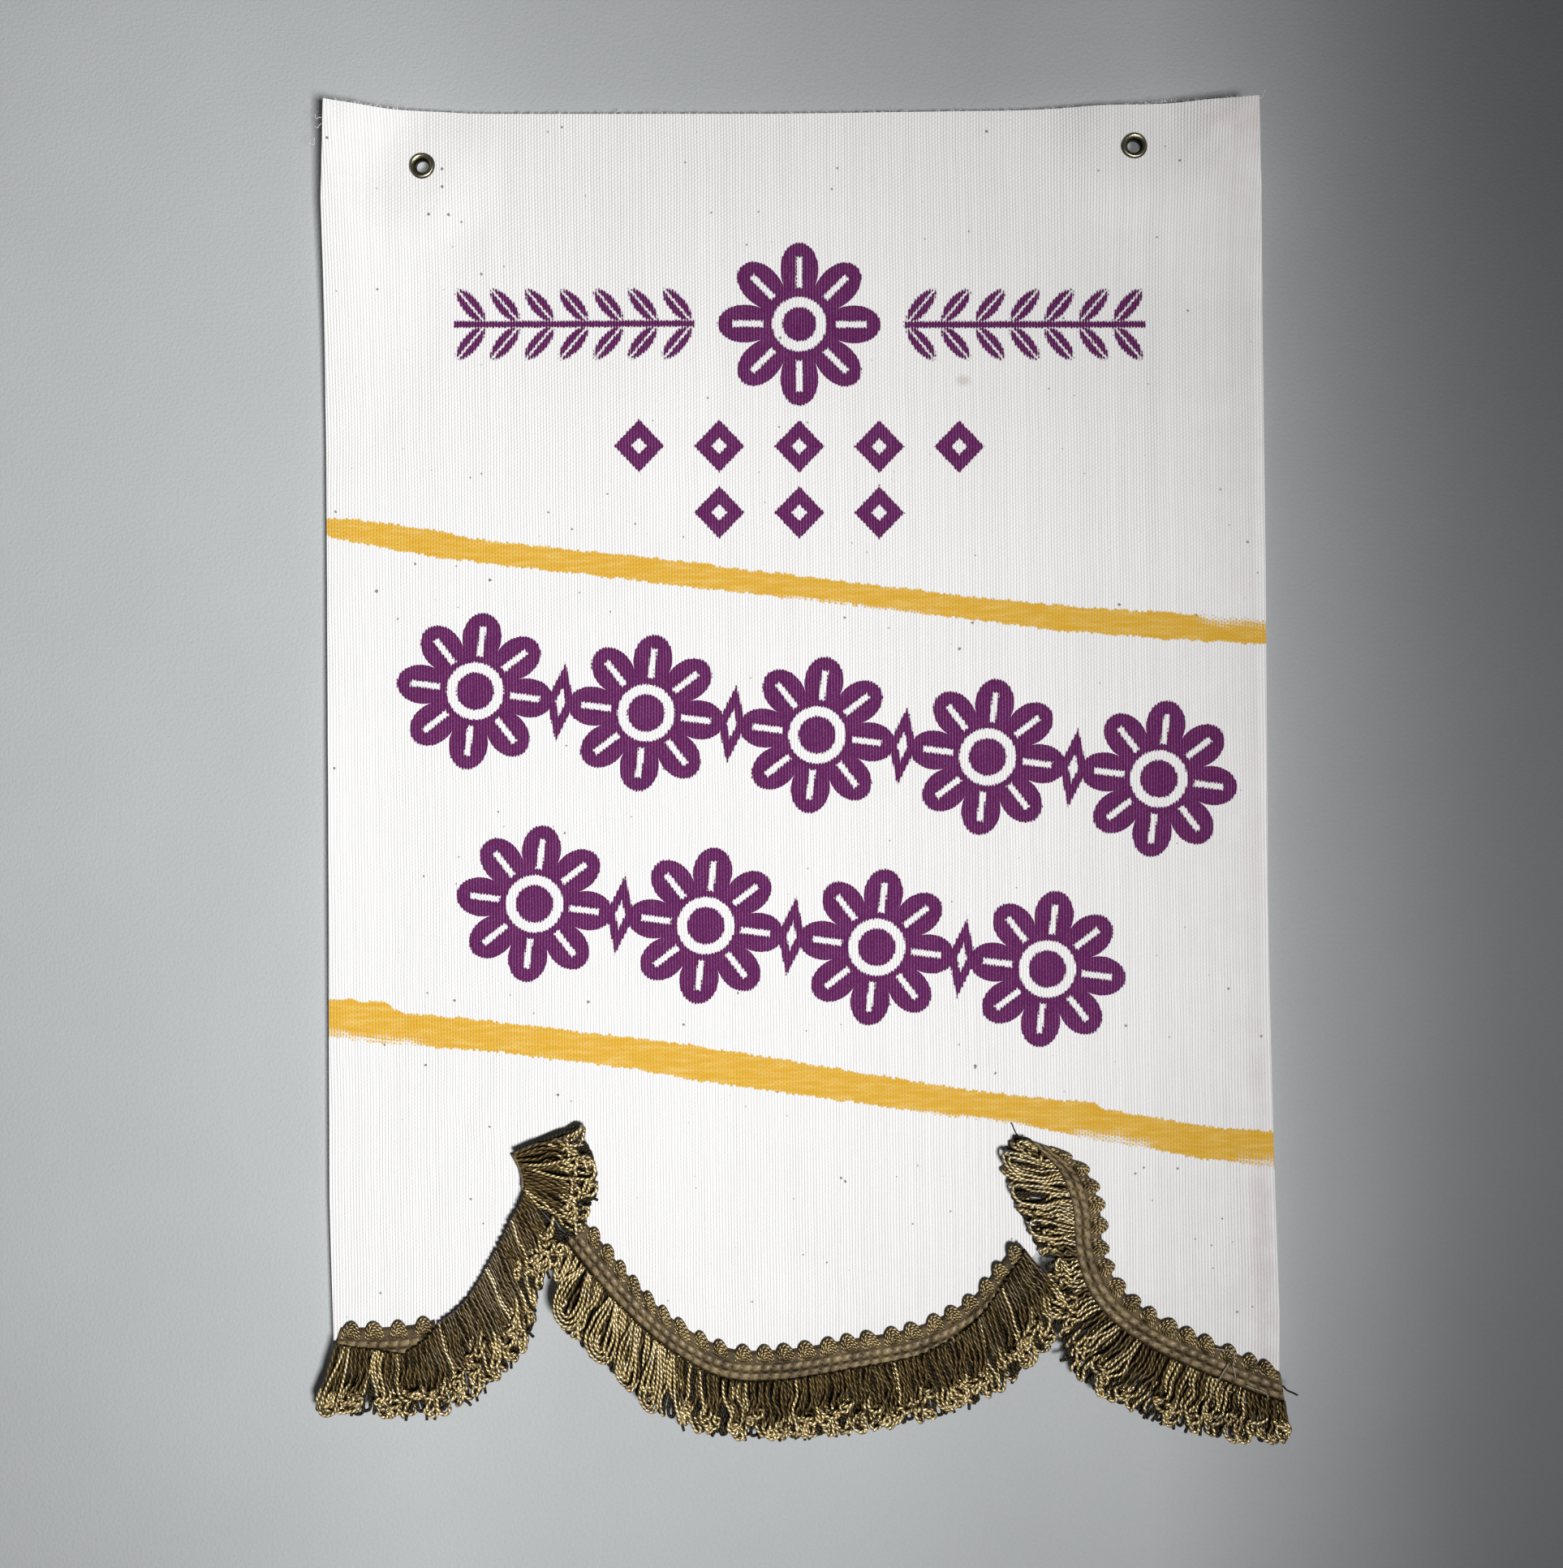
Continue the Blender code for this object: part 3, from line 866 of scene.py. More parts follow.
@dataclass(frozen=True)
class Stripe:
    """A painted stripe: its edges, and where its brush ran dry."""

    edges: Sequence[StripeEdge]
    dry: Sequence[DryPatch]
    x_from: float = -160.0
    x_wide: float = 320.0
    margin: float = 5.0
    ragged: float = 0.7
    wander: float = 2.2

    def painted(self, weave: Weave) -> Value:
        """How thickly the paint lies, from 0 where there is none to 1 where the stripe is solid."""
        _, x, down, rib, grain = weave
        nodes = x.nodes
        low = min(edge.top for edge in self.edges) - self.margin
        high = max(edge.bottom for edge in self.edges) + self.margin
        tall = high - low
        share = (x - self.x_from) / self.x_wide
        starts = [(edge.x - self.x_from) / self.x_wide for edge in self.edges]
        tops = [(start, (edge.top - low) / tall) for start, edge in zip(starts, self.edges)]
        bottoms = [(start, (edge.bottom - low) / tall) for start, edge in zip(starts, self.edges)]
        slow = (nodes.noise(nodes.vector(x, 0.0, low), 0.11, 3.0, 0.6) - 0.5) * self.wander
        jumps = [(nodes.chance(rib + seed) - 0.5) * self.ragged for seed in (low, high)]
        top = down - (nodes.curve(share, tops) * tall + low) + slow + jumps[0]
        bottom = (nodes.curve(share, bottoms) * tall + low) - down + slow + jumps[1]
        solid = (top.least(bottom) + (grain - 0.5) * 0.7).between(-0.22, 0.22)
        streaks = nodes.noise(nodes.vector(x * 0.07, rib * 0.0, down * 1.9 - x * 0.24), 1.0, 3.0, 0.65)
        bare = 0.0
        for patch in self.dry:
            edge = top if patch.at_top else bottom
            near = 1.0 - abs((x - patch.x) / patch.half_long).between(0.6, 1.05)
            bare = near * (1.0 - edge.between(0.0, patch.reach)) + bare
        return solid * (streaks + (grain - 0.5) * 0.5 - bare * 0.42).between(0.02, 0.3)


@dataclass(frozen=True)
class CanvasFinish:
    """Natural white cotton duck with upright ribs, and what is printed and painted on its face."""

    side: Side
    white: Sequence[float] = (0.835, 0.828, 0.822)
    valley_painted_shade: Sequence[float] = (0.63, 0.615, 0.605)
    ink: Sequence[float] = (0.09, 0.011, 0.074)
    ink_thin: Sequence[float] = (0.23, 0.075, 0.20)
    paint: Sequence[float] = (0.65, 0.36, 0.03)
    paint_thin: Sequence[float] = (0.75, 0.52, 0.16)
    fleck: Sequence[float] = (0.13, 0.10, 0.07)
    fleck_scale: float = 0.16
    corner: Stain = Stain(152.0, -2.0, 44.0, 40.0, (0.62, 0.52, 0.51))
    brown: Stain = Stain(56.2, 86.6, 3.4, 2.6, (0.40, 0.27, 0.16))
    hem_painted_shade: Sequence[float] = (0.55, 0.48, 0.49)
    foot_shade: Sequence[float] = (0.66, 0.60, 0.52)
    rib_pitch: float = 0.958
    pick_pitch: float = 1.27
    rib_lean: float = 0.0105
    rib_high: float = 0.66
    pick_high: float = 0.13
    slub_high: float = 0.25
    fibre_high: float = 0.35
    weave_depth: float = 0.28
    prints: Print = Print()
    upper: Stripe = Stripe(
        table(
            StripeEdge,
            *((-150.4, 131.2, 137.4), (-129.8, 133.0, 141.7), (-98.2, 138.8, 146.2), (-51.2, 143.6, 151.5)),
            *((59.6, 156.8, 164.2), (93.7, 160.2, 168.4), (125.6, 162.3, 170.7), (154.6, 164.7, 172.3)),
        ),
        table(DryPatch, (146.0, 17.0, 4.6, True), (20.0, 30.0, 1.6, False)),
    )
    lower: Stripe = Stripe(
        table(
            StripeEdge,
            *((-149.4, 287.1, 299.6), (-130.1, 289.0, 302.0), (-128.3, 291.6, 302.2), (-93.4, 295.0, 304.8)),
            *((-50.9, 300.1, 310.1), (-30.1, 302.7, 314.0), (54.4, 316.7, 325.9), (72.8, 319.1, 328.0)),
            *((98.7, 321.4, 333.4), (101.9, 323.5, 333.6), (133.5, 328.6, 339.1), (156.5, 330.4, 341.5)),
        ),
        table(
            DryPatch,
            *((-136.0, 20.0, 4.6, False), (105.0, 16.0, 5.5, False), (152.0, 9.0, 6.5, False)),
            (60.0, 24.0, 1.8, False),
        ),
    )

    def material(self) -> bpy.types.Material:
        """Makes the material of one side of the canvas."""
        nodes = Nodes(f"canvas_{self.side.value}")
        x, _, down = nodes.places()
        spot = nodes.vector(x, 0.0, down)
        wander = (nodes.noise(spot, 0.03, 1.0) - 0.5) * 0.9
        across = (x - down * self.rib_lean + wander) / self.rib_pitch
        wave = (across * math.pi).sine()
        picks = (down / self.pick_pitch + nodes.noise(spot, 0.5, 1.0) * 0.5) * math.tau
        rib = across.whole()
        height = abs(wave) * self.rib_high + wave * picks.cosine() * self.pick_high + 0.1
        slub = nodes.noise(nodes.vector(across * 0.8, 0.0, down * 0.08), 1.0, 2.0)
        fibre = nodes.noise(spot, 2.6, 2.0, 0.7)
        height = height + (slub - 0.5) * self.slub_high + (fibre - 0.5) * self.fibre_high
        # Painted shade: the weave's valleys are coloured darker than its crests.
        colour = nodes.blend(height.between(-0.15, 0.72), self.valley_painted_shade, self.white)
        tone = 1.0 + (nodes.chance(rib) - 0.5) * 0.05 + (nodes.noise(spot, 0.018, 3.0) - 0.5) * 0.08
        weave = Weave(spot, x, down, rib, height)
        colour = self.aged_with_painted_shade(nodes.toned(colour, tone), weave)
        if self.side is Side.PAINTED:
            colour = self.printed(colour, weave)
        return nodes.surface(
            {
                "Base Color": colour,
                "Roughness": 0.92,
                "Specular IOR Level": 0.12,
                "Normal": nodes.bump(height, self.weave_depth),
            }
        )

    def aged_with_painted_shade(self, colour: Value, weave: Weave) -> Value:
        """Adds flecks of cotton seed, the faint stains of age, a pink tint towards the right edge, painted
        shade along the right hem and a mottled darker, warmer tone towards the bottom.

        Args:
            colour: The clean canvas.
            weave: The point on it.

        Returns:
            The colour with its flecks and stains.
        """
        spot, x, down, _, _ = weave
        nodes = x.nodes
        cells = {"Vector": spot, "Scale": self.fleck_scale, "Randomness": 1.0}
        away = nodes.value("ShaderNodeTexVoronoi", cells, "Distance", feature="F1")
        away = away * (1.0 / self.fleck_scale)
        size = nodes.noise(spot, 0.05, 0.0) * 0.95
        fleck = 1.0 - (away - size + nodes.noise(spot, 1.6, 1.0) * 0.5).between(-0.05, 0.22)
        colour = nodes.blend(fleck * 0.85, colour, self.fleck)
        edge = (x + down * 0.02).between(112.0, 158.0)
        mottle = nodes.noise(spot, 0.09, 3.0, 0.6)
        warm = (edge * 0.34 + weave.stained(self.corner) * 0.6) * mottle.between(0.25, 0.75)
        colour = nodes.blend(warm * 0.55, colour, self.corner.colour)
        # Painted shade: a mottled dark line along the right hem, stronger low down.
        beside = x + down * -0.024
        hem = beside.between(138.5, 142.5) * (1.0 - beside.between(146.0, 148.5))
        low = down.between(250.0, 370.0) * mottle.between(0.2, 0.7)
        colour = nodes.blend(hem * (low * 0.6 + 0.25) * 0.5, colour, self.hem_painted_shade)
        colour = nodes.blend(weave.stained(self.brown) * mottle * 0.7, colour, self.brown.colour)
        foot = down.between(330.0, 420.0) * mottle.between(0.45, 0.8)
        return nodes.blend(foot * 0.2, colour, self.foot_shade)

    def printed(self, colour: Value, weave: Weave) -> Value:
        """Adds the ink and the painted stripes.

        Args:
            colour: The bare canvas.
            weave: The point on it.

        Returns:
            The colour with ink and paint on it.
        """
        spot, x, down, _, height = weave
        nodes = x.nodes
        depth = self.prints.depth(x, down)
        rough = (nodes.noise(spot, 0.9, 2.0, 0.6) - 0.5) * 0.9
        inked = (depth + rough + (height - 0.55) * 0.8).between(-0.16, 0.22)
        patchy = nodes.noise(spot, 0.12, 3.0, 0.6).between(0.3, 0.7)
        speck = (height + (nodes.noise(spot, 1.3, 2.0) - 0.5) * 0.7).between(0.12, 0.62)
        thickness = speck * 0.8 + patchy * 0.25 + (1.0 - depth.between(0.2, 1.3)) * 0.25
        ink = nodes.blend(thickness.between(0.08, 0.78), self.ink_thin, self.ink)
        colour = nodes.blend(inked, colour, ink)
        thick = nodes.noise(nodes.vector(x * 0.12, 0.0, down), 0.8, 3.0, 0.6)
        body = (thick + height * 0.4).between(0.35, 0.85)
        paint = nodes.blend(body, self.paint_thin, self.paint)
        for stripe in (self.upper, self.lower):
            colour = nodes.blend(stripe.painted(weave), colour, paint)
        return colour


@dataclass(frozen=True)
class CordFinish:
    """Glossy twisted rayon cord in bronze gold, with painted shade in the grooves between its plies and on
    the flanks that face sideways, and painted highlights on the ply crests that face front or back.

    Without plies it is plain yarn, with neither. twist is how much of its painted shade and highlight the
    plies give. dark and light are the ends of its colour: with plies they are mostly its painted shade and
    painted highlight, and without them its own darker and lighter colour.
    """

    name: str
    dark: Sequence[float]
    light: Sequence[float]
    metallic: float
    roughness: float
    coat: float = 0.0
    plies: int = 2
    ply_step: float = 1.35
    twist: float = 1.0
    groove: float = 0.45

    def material(self) -> bpy.types.Material:
        """Makes the cord's material."""
        nodes = Nodes(self.name)
        spot = nodes.vector(*nodes.places())
        patch = nodes.noise(spot, 0.22, 2.0, 0.6)
        fibre = nodes.noise(spot, 3.2, 2.0, 0.6)
        relief = fibre * 0.3
        share = (patch * 0.6 + fibre * 0.4).between(0.3, 0.7)
        if self.plies:
            around, along = nodes.spun()
            phase = around * float(self.plies) + along * (1.0 / self.ply_step)
            ply = abs((phase * math.pi).sine())
            hair = nodes.noise(nodes.vector(around * 9.0, along * 0.5, 0.0), 1.0, 2.0)
            relief = relief + ply**0.8 + hair * 0.25
            # Painted shade and highlight: grooves between the plies darken, ply crests lighten, and the
            # flanks that face sideways darken.
            twisted = 1.0 - self.twist + (ply**1.5) * self.twist
            share = twisted * (nodes.crest() ** 1.9) * (share * 1.2 + 0.5)
        return nodes.surface(
            {
                "Base Color": nodes.blend(share.between(0.0, 1.0), self.dark, self.light),
                "Metallic": self.metallic,
                "Roughness": self.roughness + (fibre - 0.5) * 0.2 + (patch - 0.5) * 0.14,
                "Specular IOR Level": 0.25,
                "Coat Weight": self.coat,
                "Coat Roughness": 0.22,
                "Normal": nodes.bump(relief, self.groove),
            }
        )


@dataclass(frozen=True)
class BrassFinish:
    """Antique brass, dark in its hollows and rubbed bright on its roll."""

    patina: Sequence[float] = (0.022, 0.019, 0.012)
    rubbed: Sequence[float] = (0.36, 0.32, 0.22)
    rub_radius: float = 3.3

    def material(self) -> bpy.types.Material:
        """Makes the eyelets' material."""
        nodes = Nodes("eyelet_metal_antique")
        x, forward, down = nodes.places()
        spot = nodes.vector(x, forward, down)
        blotch = nodes.noise(spot, 0.7, 3.0, 0.65)
        fine = nodes.noise(spot, 5.0, 2.0, 0.6)
        away = nodes.math("SQRT", x * x + down * down)
        roll = 1.0 - abs(away - self.rub_radius).between(0.2, 1.1)
        worn = (roll * 0.62 + blotch * 0.7 - 0.1).between(0.25, 0.85)
        return nodes.surface(
            {
                "Base Color": nodes.blend(worn, self.patina, self.rubbed),
                "Metallic": 1.0,
                "Roughness": 0.5 - worn * 0.2 + (fine - 0.5) * 0.16,
                "Normal": nodes.bump(fine + blotch, 0.05),
            }
        )


@dataclass(frozen=True)
class BackdropFinish:
    """Matt grey distemper, with the fall of the light painted in: painted shade towards its right and above
    the banner.

    tones holds, for each share of the width, the painted tone above the banner and the painted tone below
    it.
    """

    grey: Sequence[float] = (0.45, 0.464, 0.472)
    x_from: float = -240.0
    x_wide: float = 490.0
    fade_long: float = 380.0
    painted_falloff_tones: Sequence[tuple[float, float, float]] = (
        *((0.0, 0.94, 0.93), (0.15, 0.94, 1.0), (0.271, 0.86, 0.94), (0.494, 0.80, 0.95)),
        *((0.675, 0.77, 0.94), (0.822, 0.86, 0.99), (0.87, 0.78, 0.91), (0.92, 0.67, 0.80)),
        *((0.963, 0.53, 0.67), (1.0, 0.41, 0.50)),
    )

    def material(self) -> bpy.types.Material:
        """Makes the backdrop's material, which is clear from behind."""
        nodes = Nodes("backdrop_grey")
        x, _, down = nodes.places()
        spot = nodes.vector(x, 0.0, down)
        share = ((x - self.x_from) / self.x_wide).between(0.0, 1.0)
        above, below = (nodes.curve(share, [(row[0], row[side]) for row in self.painted_falloff_tones]) for side in (1, 2))
        grain = nodes.noise(spot, 0.9, 4.0, 0.7)
        cloud = nodes.noise(spot, 0.02, 2.0)
        # Painted shade: the fall of the light across the backdrop is painted into its tone.
        tone = above + (below - above) * down.between(0.0, self.fade_long)
        tone = tone * (0.90 + grain * 0.11 + cloud * 0.09)
        inputs = {
            "Base Color": nodes.toned(self.grey, tone),
            "Roughness": 0.95,
            "Specular IOR Level": 0.1,
            "Normal": nodes.bump(grain, 0.35),
        }
        paint = nodes.value("ShaderNodeBsdfPrincipled", inputs)
        clear = nodes.value("ShaderNodeBsdfTransparent", {})
        behind = nodes.value("ShaderNodeNewGeometry", {}, "Backfacing")
        return nodes.end(nodes.value("ShaderNodeMixShader", {0: behind, 1: paint, 2: clear}))


@dataclass(frozen=True)
class FloorFinish:
    """Plain pale floor."""

    colour: Sequence[float] = (0.62, 0.61, 0.60)

    def material(self) -> bpy.types.Material:
        """Makes the floor's material."""
        nodes = Nodes("floor_pale")
        x, forward, _ = nodes.places()
        grain = nodes.noise(nodes.vector(x, forward, 0.0), 0.02, 3.0)
        colour = nodes.blend(grain, self.colour, tuple(part * 0.94 for part in self.colour))
        return nodes.surface({"Base Color": colour, "Roughness": 0.85})


@dataclass(frozen=True)
class CanvasSheet:
    """The canvas: one sheet with a scalloped lower edge and side hems turned to its back."""

    hang: Hang
    thick: float = 1.2
    hem_wide: float = 6.9
    hem_thick: float = 1.0
    hole_radius: float = 2.9
    hole_reach: float = 3.5
    columns: int = 164
    hem_columns: int = 5
    hem_step: float = 0.3
    rows: int = 224
    scallop_samples: int = 120
    flat: tuple[float, float] = (0.320, 0.417)

    def shares(self) -> np.ndarray:
        """Each column's share of the width, closer together at the hems' edges."""
        wide = RIGHT_SCALLOP[-1].x - LEFT_SCALLOP[0].x
        inner = (self.hem_wide + self.hem_step / 2) / wide
        outer = (self.hem_wide - self.hem_step / 2) / wide
        hem = np.linspace(0.0, outer, self.hem_columns)
        return np.concatenate([hem, np.linspace(inner, 1.0 - inner, self.columns), 1.0 - hem[::-1]])

    def ends(self, shares: np.ndarray) -> np.ndarray:
        """How far down the scalloped edge lies at each column's share of the width."""
        places = []
        for scallop in (LEFT_SCALLOP, CENTRE_SCALLOP, RIGHT_SCALLOP):
            stations = np.linspace(0, len(scallop) - 1.001, self.scallop_samples)
            places += [through(scallop, at) for at in stations]
        line = np.array(places)
        wide = line[-1, 0] - line[0, 0]
        return np.interp(shares, (line[:, 0] - line[0, 0]) / wide, line[:, 1])

    def grid(self) -> tuple[np.ndarray, np.ndarray]:
        """How far right and how far down the sheet's points lie, a row for each column."""
        shares = self.shares()
        top = read_at(TOP_EDGE, TOP_EDGE[0].x + shares * (TOP_EDGE[-1].x - TOP_EDGE[0].x))
        part = np.linspace(0.0, 1.0, self.rows + 1)
        down = top[:, None] + (self.ends(shares) - top)[:, None] * part
        left, right = (
            np.interp(down, [place.down for place in edge], [place.x for place in edge])
            for edge in (LEFT_EDGE, RIGHT_EDGE)
        )
        return left + shares[:, None] * (right - left), down

    def build(self, painted: bpy.types.Material, plain: bpy.types.Material) -> bpy.types.Object:
        """Makes the sheet, with a hole for each eyelet.

        Args:
            painted: The front's material.
            plain: The material of the back and the edges.

        Returns:
            The sheet.
        """
        x, down = self.grid()
        punched = np.zeros(x.shape, dtype=bool)
        for eyelet in self.hang.eyelets:
            away = np.hypot(x - eyelet.x, down - eyelet.down)
            close = away < self.hole_reach
            punched |= close
            pushed = self.hole_radius / np.maximum(away, 0.001)
            x = np.where(close, eyelet.x + (x - eyelet.x) * pushed, x)
            down = np.where(close, eyelet.down + (down - eyelet.down) * pushed, down)
        front = self.hang.points(x, down, self.thick / 2, creased=True)
        behind = np.full(len(x), -self.thick / 2)
        behind[: self.hem_columns] -= self.hem_thick
        behind[-self.hem_columns :] -= self.hem_thick
        back = self.hang.points(x, down, behind[:, None], creased=True)
        hole = punched[:-1, :-1] & punched[1:, :-1] & punched[:-1, 1:] & punched[1:, 1:]
        draft = MeshDraft()
        draft.add(np.concatenate([front.reshape(-1, 3), back.reshape(-1, 3)]), *self.faces(hole))
        sheet = draft.build("canvas_sheet", [painted, plain], Slot.CANVAS, 50.0)
        self.drop_loose(sheet)
        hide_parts("heading_strip", "banner_cloth")
        return sheet

    @staticmethod
    def faces(hole: np.ndarray) -> tuple[list[list[int]], list[int]]:
        """The faces of both sides, the walls of the holes and the outer edges.

        Args:
            hole: Which cells of the grid the eyelets' holes take out.

        Returns:
            The faces, and the material of each: 0 on the front and 1 elsewhere.
        """
        number, cells = grid_faces(hole.shape[0] + 1, hole.shape[1] + 1)
        framed = np.pad(hole, 1, constant_values=True)
        around = framed[:-2, 1:-1], framed[1:-1, 2:], framed[2:, 1:-1], framed[1:-1, :-2]
        beside = np.stack(around, axis=-1)
        front, is_open = cells[~hole], beside[~hole]
        back = front[:, ::-1] + number.size
        start, end = front[is_open], np.roll(front, -1, axis=1)[is_open]
        walls = np.stack([start, start + number.size, end + number.size, end], axis=1)
        marks = [0] * len(front) + [1] * (len(back) + len(walls))
        return np.concatenate([front, back, walls]).tolist(), marks

    @staticmethod
    def drop_loose(sheet: bpy.types.Object) -> None:
        """Removes the points inside the holes, which no face uses."""
        bm = bmesh.new()
        bm.from_mesh(sheet.data)
        loose = [vert for vert in bm.verts if not vert.link_faces]
        bmesh.ops.delete(bm, geom=loose, context="VERTS")
        bm.to_mesh(sheet.data)
        bm.free()


@dataclass(frozen=True)
class Eyelet:
    """A rolled metal eyelet: front flange, barrel and the ring clenched at the back."""

    name: str
    place: Place
    hang: Hang
    sides: int = 64
    bore: float = 2.0
    barrel: float = 2.5
    flange: float = 4.2
    back_radius: float = 4.0
    under: float = 0.9
    back_thick: float = 0.4
    unevenness: float = 0.012

    def profile(self) -> np.ndarray:
        """The section of the ring: radius and height in front of the canvas's middle plane."""
        return np.array(
            [
                *((self.bore, -self.under - self.back_thick), (self.bore, -self.under)),
                *((2.03, -0.2), (2.12, 0.5), (2.32, 1.0), (2.62, 1.38), (2.98, 1.7), (3.3, 1.85)),
                *((3.6, 1.84), (3.87, 1.68), (4.07, 1.42), (self.flange, 1.12), (4.14, self.under)),
                *((self.barrel, self.under), (self.barrel, -self.under), (self.back_radius, -self.under)),
                (self.back_radius - 0.06, -self.under - self.back_thick),
            ]
        )

    def build(self, metal: bpy.types.Material) -> bpy.types.Object:
        """Makes the eyelet in its hole."""
        profile = self.profile()
        turn = np.linspace(0.0, math.tau, self.sides, endpoint=False)[:, None]
        uneven = 1.0 + self.unevenness * np.sin(turn * 3.0 + self.place.x) * (profile[:, 0] > 3.0)
        radius = profile[:, 0] * uneven
        ring = np.broadcast_arrays(radius * np.cos(turn), -profile[:, 1] + 0.0 * turn, radius * np.sin(turn))
        number = np.arange(radius.size).reshape(radius.shape)
        after = np.roll(number, -1, axis=0)
        corners = [number, np.roll(number, -1, axis=1), np.roll(after, -1, axis=1), after]
        draft = MeshDraft()
        draft.add(np.stack(ring, axis=-1) * MM, np.stack(corners, axis=-1).reshape(-1, 4).tolist())
        middle = self.hang.points(np.array(self.place.x), np.array(self.place.down), 0.0)
        piece = draft.build(f"{self.name}_ring", [metal], Slot.METAL, 40.0)
        piece.location = Vector(middle.tolist())
        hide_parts(self.name)
        return piece


class FringeLine:
    """Where a fringe runs: its beaded edge and its tips, read from a few sections."""

    def __init__(self, hang: Hang, sections: Sequence[Section], samples: int = 900) -> None:
        """Reads the sections.

        Args:
            hang: How the canvas hangs.
            sections: The fringe's sections.
            samples: How closely they are followed.
        """
        self.hang = hang
        self.count = len(sections)
        numbers = np.array(sections)
        edge, tips = (np.hypot(*np.diff(numbers[:, at : at + 2], axis=0).T) for at in (0, 2))
        self.lengths = np.concatenate([[0.0], np.cumsum((edge + tips) / 2)])
        self.places = np.linspace(0.0, self.count - 1.0, samples)
        self.rows = np.array([through(sections, at) for at in self.places])
        steps = np.hypot(*np.diff(self.rows[:, 0:2], axis=0).T)
        self.edge_run = np.concatenate([[0.0], np.cumsum(steps)])

    @property
    def length(self) -> float:
        """The length along the fringe's middle."""
        return float(self.lengths[-1])

    def position(self, run: np.ndarray) -> np.ndarray:
        """The place counted in sections, at a length along the fringe's middle."""
        return np.interp(run, self.lengths, np.arange(self.count))

    def at_edge(self, run: np.ndarray) -> np.ndarray:
        """The place counted in sections, at a length along the beaded edge."""
        return np.interp(run, self.edge_run, self.places)

    def section(self, position: np.ndarray) -> list[np.ndarray]:
        """The sections' numbers at some places counted in sections."""
        return [np.interp(position, self.places, self.rows[:, column]) for column in range(6)]

    def deep(self, position: np.ndarray) -> np.ndarray:
        """The distance from the beaded edge to the tips."""
        edge_x, edge_down, tip_x, tip_down, _, _ = self.section(position)
        return np.hypot(tip_x - edge_x, tip_down - edge_down)

    def points(self, position: np.ndarray, reach: np.ndarray, off: np.ndarray | float) -> np.ndarray:
        """Points in the fringe.

        Args:
            position: Places along it, counted in sections.
            reach: Distances from the beaded edge towards the tips.
            off: Distances in front of its back.

        Returns:
            Points in metres.
        """
        edge_x, edge_down, tip_x, tip_down, edge_off, tip_off = self.section(position)
        part = reach / self.deep(position)
        x = edge_x + (tip_x - edge_x) * part
        down = edge_down + (tip_down - edge_down) * part
        back = edge_off + (tip_off - edge_off) * np.clip(part, 0.0, 1.0)
        return self.hang.points(x, down, back + off)


class FringeFinishes(NamedTuple):
    """The materials of a fringe: strand and tip are shaded and lit copies of one rayon, painted shade and
    painted highlight, and deep is near-black painted shade for the back row of loops that also colours the
    dark cut ends and stray threads.
    """

    strand: bpy.types.Material
    tip: bpy.types.Material
    bead: bpy.types.Material
    square: bpy.types.Material
    ground: bpy.types.Material
    deep: bpy.types.Material


class FringeWork(NamedTuple):
    """What a fringe's parts are made with: where it runs, their unevenness and their materials."""

    line: FringeLine
    rng: np.random.Generator
    finishes: FringeFinishes


